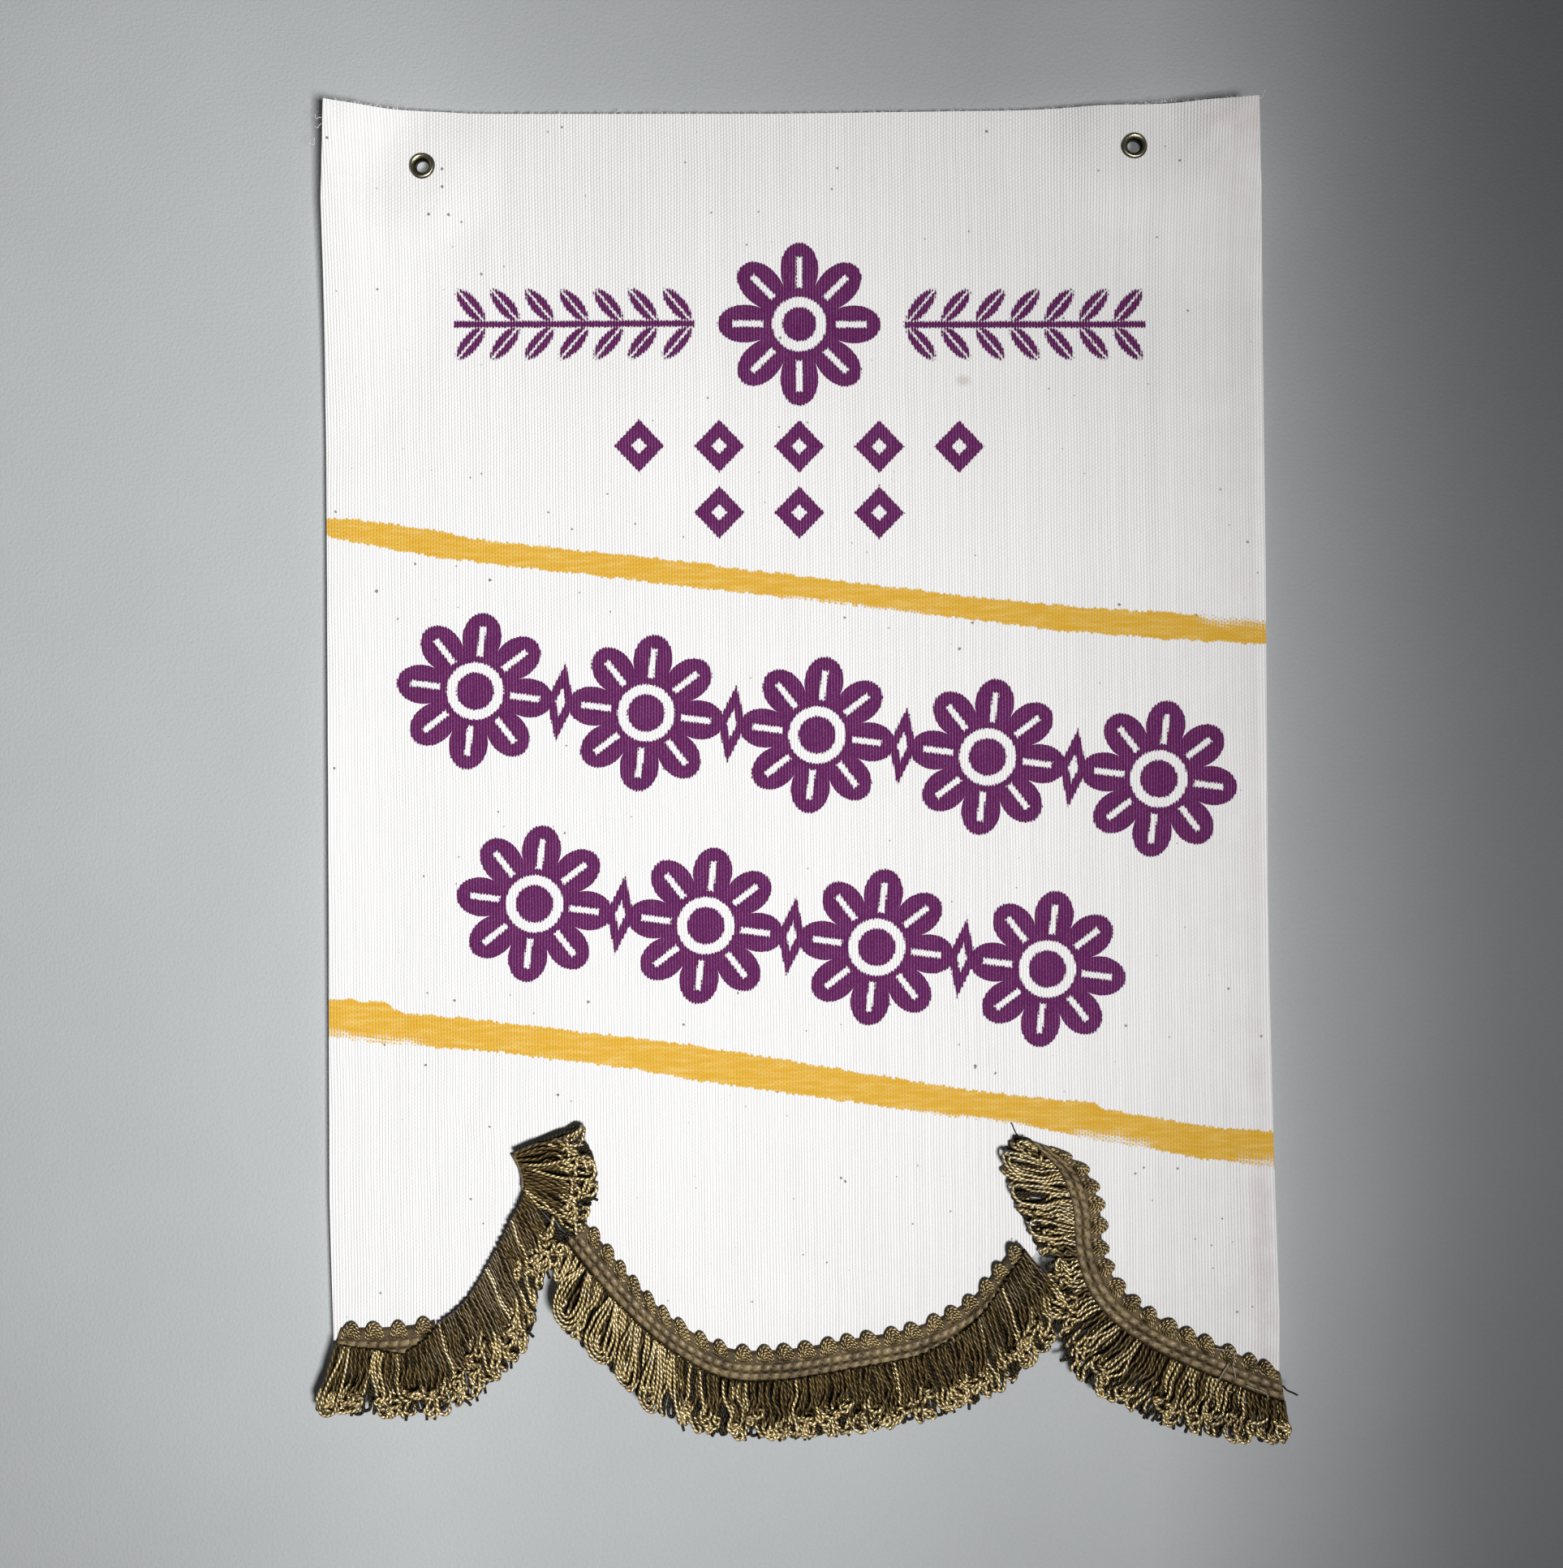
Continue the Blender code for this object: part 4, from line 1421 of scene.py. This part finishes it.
@dataclass(frozen=True)
class Fringe:
    """A length of loop fringe: a woven band with a beaded edge, and the loops that hang from it."""

    name: str
    sections: Sequence[Section]
    bands: Sequence[BandRun]
    habits: Sequence[Habit]
    nests: Sequence[Nest]
    seed: int
    rows: Sequence[LoopRow] = table(
        LoopRow,
        ("loops", 2.3, 29, 3, 1.6, 0.0, 0.4, 1.7, 0.6, 0.6),
        # The under loops are all near-black painted shade, a dark layer behind the loops.
        ("under_loops", 1.5, 9, 1, 0.75, 0.22, 0.0, 0.3, 0.05, 0.0),
        ("front_loops", 2.2, 29, 3, 2.8, 1.0, 0.34, 1.7, 1.0, 1.0, True),
    )
    arc_points: int = 7
    half_apart: float = 0.7
    uneven: float = 1.6
    curl_from: float = 0.62
    nest_leg: int = 22
    nest_arc: int = 11
    nest_step: float = 2.7
    nest_off: float = 3.9
    bead_pitch: float = 6.9
    bead_half: float = 2.6
    bead_inner: float = 2.3
    bead_base: float = 3.3
    bead_top: float = -1.7
    bead_drop: float = 3.2
    bead_off: float = 0.95
    bead_rise: float = 2.1
    bead_cords: int = 5
    square_pitch: float = 3.2
    square_tall: float = 2.75
    square_slant: float = 0.3
    square_rise: float = 0.95
    band_step: float = 0.42
    band_thick: float = 1.5
    cut_ends: int = 16
    cut_reach: float = 3.6
    cord: CordShape = CordShape()
    bead_cord: CordShape = CordShape(radius=0.56)

    def build(self, hang: Hang, finishes: FringeFinishes) -> list[bpy.types.Object]:
        """Makes the band, the beads and the loops.

        Args:
            hang: How the canvas hangs.
            finishes: The fringe's materials.

        Returns:
            Its pieces.
        """
        work = FringeWork(FringeLine(hang, self.sections), np.random.default_rng(self.seed), finishes)
        pieces = [self.loops(work, row) for row in self.rows]
        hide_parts(self.name)
        return [*pieces, self.band(work), self.beads(work)]

    def habit(self, place: np.ndarray, *names: str) -> list[np.ndarray]:
        """How the loops hang at some places, for each name."""
        stations = [habit.position for habit in self.habits]
        columns = ([getattr(habit, name) for habit in self.habits] for name in names)
        return [np.interp(place, stations, column) for column in columns]

    @staticmethod
    def loop_shape(leg: np.ndarray, arc_points: int) -> tuple[np.ndarray, np.ndarray, np.ndarray]:
        """The outline of a loop.

        Args:
            leg: How far down each point of a leg lies, from 0 to 1.
            arc_points: How many points the end has between the legs.

        Returns:
            How far down each point lies, and its place aside and below in the round end.
        """
        arc = np.linspace(0.0, math.pi, arc_points + 2)[1:-1]
        even = np.ones(len(leg))
        part = np.concatenate([leg, np.ones(arc_points), leg[::-1]])
        cosine = np.concatenate([even, np.cos(arc), -even])
        return part, cosine, np.concatenate([0.0 * even, np.sin(arc), 0.0 * even])

    def loops(self, work: FringeWork, row: LoopRow) -> bpy.types.Object:
        """Makes a row of loops, each a front leg, a curled end and a back leg.

        Args:
            work: What they are made with.
            row: The row.

        Returns:
            The loops.
        """
        line, rng, finishes = work
        fine = np.linspace(0.0, line.length, 400)
        (openness,) = self.habit(line.position(fine), "open")
        needed = np.cumsum(fine[1] / (row.pitch * (1.0 + 0.9 * openness)))
        count = round(float(needed[-1]))
        lock = np.arange(count) // row.lock
        run = np.interp((np.arange(count) + 0.5) / count * needed[-1], needed, fine)[:, None]
        middle = (np.bincount(lock, run[:, 0]) / np.bincount(lock))[lock][:, None]
        place = line.position(run)
        root, shorter, flat, painted_highlight_share = self.habit(place, "root", "shorter", "open", "painted_highlight_share")

        def each(low: float, high: float) -> np.ndarray:
            """A chance number for each loop."""
            return rng.uniform(low, high, (count, 1))

        def shared(low: float, high: float) -> np.ndarray:
            """A chance number that the loops of a lock share."""
            return rng.uniform(low, high, (lock[-1] + 1, 1))[lock]

        flat = np.clip(flat + each(-0.25, 0.25) * (flat > 0.02), 0.0, 1.0)
        tip = line.deep(place) - self.uneven * each(0.0, 1.0) ** 1.5
        tip = tip - row.short * (shorter * shared(0.12, 1.0) + each(0.0, 1.4))
        part, cosine, sine = self.loop_shape(np.linspace(0.0, 1.0, row.points) ** 0.85, self.arc_points)

        # How far apart the legs hang, and how the loop turns about itself
        wide = self.half_apart * each(1.0, 1.6) * (1.0 - flat) + each(0.95, 1.3) * flat
        held = 1.0 - flat * 0.7 * (1.0 - soft_step(part / 0.75))
        spread = wide * held * (1.0 + (1.0 - flat) * each(0.0, 0.9) * np.exp(-(((part - 0.94) / 0.07) ** 2)))
        turned = soft_step((part - each(self.curl_from - 0.12, self.curl_from + 0.12)) / 0.34)
        angle = (math.pi / 2 + each(-0.5, 0.5)) * (1.0 - flat) + each(-0.3, 0.3) * flat
        angle = angle + each(0.8, 3.6) * turned * (1.0 - flat)

        # The hook at the end, and how the loop sways
        hook_from = each(0.74, 0.86)
        hooked = row.curl * each(0.25, 2.7) * (1.0 - 0.8 * flat) + 0.02
        radius = (tip - wide - root) * (1.0 - hook_from) / hooked
        around = hooked * np.clip((part - hook_from) / (1.0 - hook_from), 0.0, 1.0)
        way = np.where(each(0.0, 1.0) < 0.7, 1.0, -1.0)
        aside = radius * (1.0 - np.cos(around))
        outward = each(-0.1, 0.9)
        bend = row.sway * (
            shared(-0.9, 0.9) * np.sin(math.tau * (0.45 * part + shared(0.0, 1.0)))
            + shared(-0.5, 0.5) * np.sin(math.tau * (1.15 * part + shared(0.0, 1.0)))
            + each(-0.32, 0.32) * np.sin(math.tau * (1.9 * part + each(0.0, 1.0)))
        ) * np.minimum(part * 2.2, 1.0)

        # Where its points lie, and which stretches get the painted highlight
        across = cosine * np.cos(angle) * spread
        sideways = bend + shared(-1.3, 1.3) * part**2 + (middle - run) * row.gather * part
        sideways = sideways + across * np.cos(around) + way * (aside + wide * sine * np.sin(around))
        off = row.off + shared(0.0, 0.7) + cosine * np.sin(angle) * spread + aside * outward
        down = root + (tip - wide - root) * np.minimum(part, hook_from) + radius * np.sin(around)
        down = down + wide * sine * np.cos(around) - way * across * np.sin(around)
        asked = run + sideways
        held_run = np.clip(asked, 0.05, line.length - 0.05)
        along = line.position(held_run)
        paths = line.points(along, down, np.maximum(off, 0.6)) + self.beyond(line, along, asked - held_run)
        # Bright stretches get the painted-highlight cord and the rest the painted-shade strand; a row with
        # no bright share is all near-black painted shade.
        bright_from = np.where(each(0.0, 1.0) < painted_highlight_share * row.painted_highlight_share, 0.0, each(0.62, 0.86))
        bright = (part[:-1] + part[1:]) / 2 > bright_from
        marks = np.where(row.painted_highlight_share > 0.0, bright.astype(int), 2)
        thick = 1.0 + 0.25 * row.curl * soft_step((part - 0.72) / 0.2)
        draft = MeshDraft()
        self.cord.sweep(paths, draft, marks, thick[None, :, None])
        if row.dressed:
            self.add_cut_ends(work, draft)
            self.add_nests(work, draft)
        materials = [finishes.strand, finishes.tip, finishes.deep]
        return draft.build(f"{self.name}_{row.name}", materials, Slot.FRINGE, 80.0)

    def add_nests(self, work: FringeWork, draft: MeshDraft) -> None:
        """Adds the wide loops that lie inside each other to a draft."""
        line, rng, _ = work
        part, cosine, sine = self.loop_shape(np.linspace(0.0, 1.0, self.nest_leg), self.nest_arc)
        step = self.cord.radius * self.nest_step
        paths = []
        for nest in self.nests:
            (root,) = self.habit(nest.position, "root")
            run = np.interp(nest.position, np.arange(line.count), line.lengths)
            deep = line.deep(nest.position) - rng.uniform(0.2, 1.4)
            for inner in range(max(int(nest.half_wide / step), 1)):
                half = nest.half_wide - inner * step
                spread = half * (0.42 + 0.58 * soft_step(part / 0.7))
                end = deep - inner * step * 0.9 - half
                down = root + (end - root) * part + half * sine
                aside = nest.lean * part**2 + 0.25 * np.sin(math.tau * (part + rng.uniform(0.0, 1.0)))
                place = line.position(np.clip(run + cosine * spread + aside, 0.05, line.length - 0.05))
                off = self.nest_off + rng.uniform(-0.1, 0.1) + 1.5 * soft_step(part * 2.0) + 0.1 * cosine
                paths.append(line.points(place, down, off))
        every = np.array(paths)
        # The nests take the painted-highlight cord all along.
        self.cord.sweep(every, draft, np.ones((len(paths), every.shape[1] - 1), int))

    @staticmethod
    def beyond(line: FringeLine, along: np.ndarray, over: np.ndarray) -> np.ndarray:
        """Moves what sways past either end of the fringe on in the fringe's direction.

        Args:
            line: Where the fringe runs.
            along: Places counted in sections.
            over: How far past the end each point is, in millimetres.

        Returns:
            What to add to the points, in metres.
        """
        last = line.count - 1.0
        ways = []
        for stations in ((0.0, 0.2), (last - 0.2, last)):
            near, far = line.points(np.array(stations), np.full(2, 18.0), 1.0)
            ways.append((far - near) / np.linalg.norm(far - near))
        return np.where((along < 0.5 * last)[..., None], *ways) * over[..., None] * MM

    def add_cut_ends(self, work: FringeWork, draft: MeshDraft) -> None:
        """Adds the short cut ends that poke out between the loops to a draft."""
        line, rng, _ = work
        run = np.sort(rng.uniform(2.0, line.length - 2.0, self.cut_ends))
        tip = line.deep(line.position(run))
        part = np.linspace(0.0, 1.0, 9)
        lean = rng.uniform(-2.4, 2.4, self.cut_ends)[:, None]
        place = line.position(np.clip(run[:, None] + lean * part, 0.1, line.length - 0.1))
        reach = (tip[:, None] - self.cut_reach) + (3.4 + rng.uniform(0.0, 1.1, (self.cut_ends, 1))) * part
        self.cord.sweep(line.points(place, reach, 2.0), draft, np.full((self.cut_ends, 8), 2), 0.9)

    def beads(self, work: FringeWork) -> bpy.types.Object:
        """Makes the beaded edge: knots of nested twisted cords."""
        line, rng, finishes = work
        draft = MeshDraft()
        turn = np.linspace(0.0, math.pi, 25)
        for band in (band for band in self.bands if band.beaded):
            start, end = np.interp([band.start, band.end], line.places, line.edge_run)
            count = round((end - start) / self.bead_pitch)
            pitch = (end - start) / count
            for bead in range(count):
                middle = start + (bead + 0.5) * pitch + rng.uniform(-0.3, 0.3)
                lean = rng.uniform(-1.3, 0.3)
                grown = rng.uniform(0.9, 1.08)
                paths = []
                for cord in range(self.bead_cords):
                    inward = cord / (self.bead_cords - 1)
                    half = (self.bead_half - self.bead_inner * inward) * grown
                    top = self.bead_top + self.bead_drop * inward
                    reach = self.bead_base - (self.bead_base - top) * np.sin(turn)
                    run = middle + half * np.cos(turn) + lean * np.sin(turn)
                    dome = math.sin(math.pi / 2 * (0.12 + 0.88 * inward))
                    off = self.bead_off + self.bead_rise * dome * np.sin(turn) ** 0.7
                    off = off + rng.uniform(-0.08, 0.08)
                    place = line.at_edge(np.clip(run, 0.0, line.edge_run[-1]))
                    paths.append(line.points(place, reach, off))
                self.bead_cord.sweep(np.array(paths), draft)
        return draft.build(f"{self.name}_beads", [finishes.bead], Slot.FRINGE, 80.0)

    def band(self, work: FringeWork) -> bpy.types.Object:
        """Makes the woven band, with two rows of raised squares where it is beaded."""
        line, _, finishes = work
        draft = MeshDraft()
        for band in self.bands:
            start, end = np.interp([band.start, band.end], line.places, line.edge_run)
            run = np.linspace(start, end, max(int((end - start) / self.band_step), 8))
            place = line.at_edge(run)
            reach = np.linspace(band.near, band.far, int((band.far - band.near) / 0.4) + 1)
            first_row = self.bead_base + 0.35 if band.beaded else band.near
            tall = self.square_tall if band.beaded else (band.far - band.near) / 2
            across = (run[:, None] + self.square_slant * (reach - first_row)) / self.square_pitch
            down = (reach[None, :] - first_row) / tall
            cell_x, cell_y = np.abs(np.sin(np.pi * across)), np.abs(np.sin(np.pi * down))
            raised = np.where((down > 0.0) & (down < 2.0), (cell_x * cell_y) ** 0.55, 0.0)
            strands = 0.12 * np.sin(math.tau * reach / 0.55)[None, :] * cell_x
            uneven = 1.0 - 0.3 * np.abs(np.sin(np.floor(across) * 2.4 + np.floor(down) * 1.7))
            off = self.band_thick + self.square_rise * raised * uneven * (1.0 + strands)
            edges = np.minimum((reach - band.near), (band.far - reach))
            off = off * np.clip(0.35 + edges, 0.35, 1.0)[None, :]
            across_band = reach[None, :] + 0.0 * off
            sides = [line.points(place[:, None], across_band, at) for at in (off, 0.05 + 0.0 * off)]
            number, cells = grid_faces(len(run), len(reach))
            faces = cells.reshape(-1, 4)
            raised_face = (raised[:-1, :-1] + raised[1:, 1:]).ravel() / 2 > 0.45
            rim = np.concatenate([number[:, 0], number[-1, 1:], number[-2::-1, -1], number[0, -2:0:-1]])
            after = np.roll(rim, -1)
            around = np.stack([rim, after, after + number.size, rim + number.size], axis=1)
            every = np.concatenate([faces, faces[:, ::-1] + number.size, around])
            marks = np.ones(len(every), int)
            marks[: len(faces)] = ~raised_face
            points = np.concatenate([side.reshape(-1, 3) for side in sides])
            draft.add(points, every.tolist(), marks.tolist())
        return draft.build(f"{self.name}_band", [finishes.square, finishes.ground], Slot.FRINGE, 70.0)


@dataclass(frozen=True)
class LooseThreads:
    """Frayed threads on the canvas's edges, and stray ends of the fringe."""

    hang: Hang
    fuzz: int = 420
    seed: int = 11
    threads: Sequence[Thread] = table(
        Thread,
        *((-153.6, 13.0, -151.9, 11.6, 1.2, 0.1, 0.2), (-151.4, 4.6, -149.2, 5.6, 0.8, 0.1, 0.2)),
        *((-151.6, 8.2, -149.4, 7.4, 0.6, 0.09, 0.2), (148.0, -0.6, 151.2, -3.4, 1.0, 0.1, 0.4)),
        (-60.0, -0.2, -55.0, -1.5, 0.8, 0.09, 0.3),
    )
    dark_threads: Sequence[Thread] = table(
        Thread,
        *((71.8, 327.8, 81.8, 336.8, 1.4, 0.22, 1.0), (158.6, 411.5, 163.4, 414.6, 0.4, 0.35, 1.6)),
        (156.4, 409.6, 159.0, 411.8, 0.3, 0.16, 1.4),
    )
    pale_threads: Sequence[Thread] = table(
        Thread,
        *((141.0, 404.0, 147.5, 417.0, 5.0, 0.2, 4.0), (146.5, 411.0, 150.5, 424.0, -4.4, 0.2, 4.0)),
        (137.0, 399.5, 143.0, 409.0, -3.2, 0.18, 3.8),
    )

    def draw(self, threads: Sequence[Thread], draft: MeshDraft, corners: int, mark: int) -> None:
        """Draws some threads.

        Args:
            threads: The threads.
            draft: Where they go.
            corners: How many sides they have.
            mark: Their material.
        """
        part = np.linspace(0.0, 1.0, 14)
        for thread in threads:
            wide = thread.end_x - thread.start_x
            tall = thread.end_down - thread.start_down
            size = math.hypot(wide, tall)
            bow = thread.bow * np.sin(math.pi * part) * (1.0 + 0.5 * np.sin(math.tau * part))
            x = thread.start_x + wide * part - bow * tall / size
            down = thread.start_down + tall * part + bow * wide / size
            path = self.hang.points(x, down, thread.off)[None]
            CordShape(thread.radius, corners).sweep(path, draft, np.full((1, len(part) - 1), mark))

    def build(
        self, canvas: bpy.types.Material, dark: bpy.types.Material, pale: bpy.types.Material
    ) -> list[bpy.types.Object]:
        """Makes the fuzz and the threads.

        Args:
            canvas: The canvas's material.
            dark: The material of the fringe's cut ends.
            pale: The material of the pale sewing threads.

        Returns:
            The pieces.
        """
        rng = np.random.default_rng(self.seed)

        def each(low: float, high: float) -> np.ndarray:
            """A chance number for each tuft."""
            return rng.uniform(low, high, self.fuzz)[:, None]

        draft, stray = MeshDraft(), MeshDraft()
        x = each(-148.0, 148.5)
        part = np.linspace(0.0, 1.0, 5)
        high = each(0.25, 1.15) * part
        lean = each(-1.0, 1.0) * part**2
        off = each(-0.4, 0.55) + each(-0.3, 0.5) * part
        paths = self.hang.points(x + lean, read_at(TOP_EDGE, x) + 0.15 - high, off)
        CordShape(radius=0.075, corners=3).sweep(paths, draft)
        self.draw(self.threads, draft, 5, 0)
        fuzz = draft.build("canvas_fuzz", [canvas], Slot.CANVAS, 80.0)
        self.draw(self.dark_threads, stray, 6, 0)
        self.draw(self.pale_threads, stray, 6, 1)
        return [fuzz, stray.build("fringe_stray_threads", [dark, pale], Slot.FRINGE, 80.0)]


@dataclass(frozen=True)
class Studio:
    """The backdrop, floor, lights and camera."""

    camera_place: Vector = Vector((-0.0029, -0.6, -0.2177))
    lens: float = 42.36
    wall_back: float = 0.0062
    wall_half: float = 1.6
    floor_down: float = 1.15
    floor_half: float = 3.0
    lamps: Sequence[tuple] = (
        ("key_low", (0.22, -1.0, -0.42), (-0.11, 0.0, -0.46), 0.16, 66.0, 1.13),
        ("key_high", (0.22, -1.0, -0.42), (-0.22, 0.0, 0.0), 0.16, 66.0, 1.62),
        ("rear", (0.5, 1.5, 0.2), (0.0, 0.0, -0.21), 1.2, 180.0, 16.0),
    )

    def build(self) -> None:
        """Makes everything round the banner."""
        signs = ((-1, -1), (1, -1), (1, 1), (-1, 1))
        corners = [(x * self.wall_half, self.wall_back, z * self.wall_half) for x, z in signs]
        self.panel("backdrop", corners, BackdropFinish().material()).visible_shadow = False
        corners = [(x * self.floor_half, y * self.floor_half, -self.floor_down) for x, y in signs]
        self.panel("floor", corners, FloorFinish().material())
        for name, place, aim, size, spread, power in self.lamps:
            self.light(name, Vector(place), Vector(aim), size, spread, power)
        self.world()
        self.camera()
        bpy.context.scene.view_settings.view_transform = "Standard"

    @staticmethod
    def panel(name: str, corners: Sequence, material: bpy.types.Material) -> bpy.types.Object:
        """One flat panel of the stage, from its four corners in metres."""
        mesh = bpy.data.meshes.new(name)
        mesh.from_pydata(corners, [], [(0, 1, 2, 3)])
        mesh.materials.append(material)
        panel = bpy.data.objects.new(name, mesh)
        bpy.context.scene.collection.objects.link(panel)
        return panel

    @staticmethod
    def light(name: str, place: Vector, aim: Vector, size: float, spread: float, power: float) -> None:
        """Makes a square soft light.

        Args:
            name: Its name.
            place: Where it stands.
            aim: The point it looks at.
            size: Its side, in metres.
            spread: The angle in degrees that its light fans out to.
            power: Its power in watts.
        """
        data = bpy.data.lights.new(name, "AREA")
        data.size = size
        data.spread = math.radians(spread)
        data.energy = power
        lamp = bpy.data.objects.new(name, data)
        lamp.location = place
        lamp.rotation_euler = (aim - place).to_track_quat("-Z", "Y").to_euler()
        bpy.context.scene.collection.objects.link(lamp)

    @staticmethod
    def world() -> None:
        """Makes the soft grey light all round."""
        world = bpy.data.worlds.new("studio")
        world.use_nodes = True
        sky = world.node_tree.nodes["Background"]
        sky.inputs["Color"].default_value = (0.93, 0.96, 1.0, 1.0)
        sky.inputs["Strength"].default_value = 0.05
        bpy.context.scene.world = world

    def camera(self) -> None:
        """Makes the camera, square to the banner's face."""
        data = bpy.data.cameras.new("camera")
        data.lens = self.lens
        data.clip_start = 0.01
        camera = bpy.data.objects.new("camera", data)
        camera.location = self.camera_place
        camera.rotation_euler = (math.radians(90.0), 0.0, 0.0)
        bpy.context.scene.collection.objects.link(camera)
        bpy.context.scene.camera = camera


def main() -> None:
    """Builds the banner's looks, piece by piece."""
    logging.basicConfig(level=logging.INFO, format="%(message)s")
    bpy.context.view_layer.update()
    hang = Hang()
    painted = CanvasFinish(Side.PAINTED).material()
    plain = CanvasFinish(Side.PLAIN).material()
    metal = BrassFinish().material()
    # The first two cords are shaded and lit copies of one rayon: painted shade on the dull strands, painted
    # highlight on the bright loops, tips and nests. The near-black sixth is painted shade for the back row
    # of loops, and also colours the dark cut ends and stray threads.
    cords = table(
        CordFinish,
        ("cord_strand", (0.014, 0.0085, 0.0028), (0.145, 0.096, 0.033), 0.4, 0.36, 0.15, 2, 2.3, 0.5),
        ("cord_tip", (0.035, 0.020, 0.0055), (0.93, 0.70, 0.33), 0.5, 0.24, 0.5, 2, 1.6, 0.7),
        ("cord_bead", (0.030, 0.020, 0.008), (0.60, 0.44, 0.205), 0.4, 0.34, 0.15),
        ("braid_square", (0.11, 0.078, 0.037), (0.25, 0.182, 0.093), 0.2, 0.5, 0.1, 0),
        ("braid_ground", (0.03, 0.020, 0.009), (0.11, 0.076, 0.036), 0.2, 0.55, 0.0, 0),
        ("cord_deep", (0.010, 0.0075, 0.003), (0.05, 0.036, 0.017), 0.2, 0.6),
        ("thread_pale", (0.42, 0.37, 0.30), (0.62, 0.57, 0.48), 0.0, 0.55),
    )
    *fringe_materials, pale = (cord.material() for cord in cords)
    finishes = FringeFinishes(*fringe_materials)

    sheet = CanvasSheet(hang).build(painted, plain)
    places = {"eyelet_left": LEFT_EYELET, "eyelet_right": RIGHT_EYELET}
    eyelets = [Eyelet(name, place, hang).build(metal) for name, place in places.items()]
    fringes = (
        Fringe(
            "fringe_left",
            LEFT_FRINGE,
            bands=table(BandRun, (0.0, 2.0, 0.0, 10.0, True), (6.2, 8.7, -1.4, 2.6, False)),
            habits=table(
                Habit,
                *((0.0, 4.6, 3.0, 0.15, 0.5), (0.8, 6.4, 4.0, 0.1, 0.3), (1.3, 8.2, 5.0, 0.0, 0.15)),
                *((2.2, 0.8, 11.0, 0.0, 0.06), (4.6, 0.8, 15.0, 0.0, 0.05), (6.0, 0.8, 8.0, 0.0, 0.1)),
                *((7.4, 0.8, 5.0, 0.1, 0.1), (9.0, 0.8, 5.0, 0.2, 0.15)),
            ),
            nests=table(Nest, (7.9, 2.6, 0.6), (0.3, 2.4, -1.0)),
            seed=3,
        ),
        Fringe(
            "fringe_centre",
            CENTRE_FRINGE,
            bands=table(BandRun, (0.0, 10.0, 0.0, 10.0, True)),
            habits=table(
                Habit,
                *((0.0, 9.4, 2.0, 0.3, 0.25), (1.6, 9.4, 3.0, 0.5, 0.35), (2.6, 9.4, 3.0, 0.8, 0.9)),
                *((3.4, 9.4, 4.0, 0.5, 0.5), (4.4, 9.2, 5.0, 0.1, 0.15), (7.0, 8.2, 7.0, 0.0, 0.12)),
                *((8.6, 5.0, 9.0, 0.0, 0.08), (10.0, 2.0, 8.0, 0.1, 0.08)),
            ),
            nests=table(
                Nest,
                *((0.4, 3.4, -0.3), (1.0, 6.4, -0.6), (1.75, 4.9, 0.0), (2.25, 3.3, 0.4), (2.75, 3.3, -0.4)),
            ),
            seed=5,
        ),
        Fringe(
            "fringe_right",
            RIGHT_FRINGE,
            bands=table(BandRun, (0.0, 8.0, 0.0, 10.0, True)),
            habits=table(
                Habit,
                *((0.0, 9.4, 4.0, 0.5, 0.4), (2.0, 9.4, 5.0, 0.7, 0.85), (3.6, 9.4, 5.0, 0.6, 0.95)),
                *((6.2, 9.4, 4.0, 0.45, 0.65), (8.0, 9.4, 4.0, 0.2, 0.3)),
            ),
            nests=table(Nest, (0.3, 3.2, 0.5), (1.0, 4.4, -0.4), (1.7, 3.2, 0.8), (2.6, 2.9, 0.6)),
            seed=8,
        ),
    )
    trims = [piece for fringe in fringes for piece in fringe.build(hang, finishes)]
    trims += LooseThreads(hang).build(plain, finishes.deep, pale)
    Studio().build()

    bpy.context.view_layer.update()


if __name__ == "__main__":
    main()
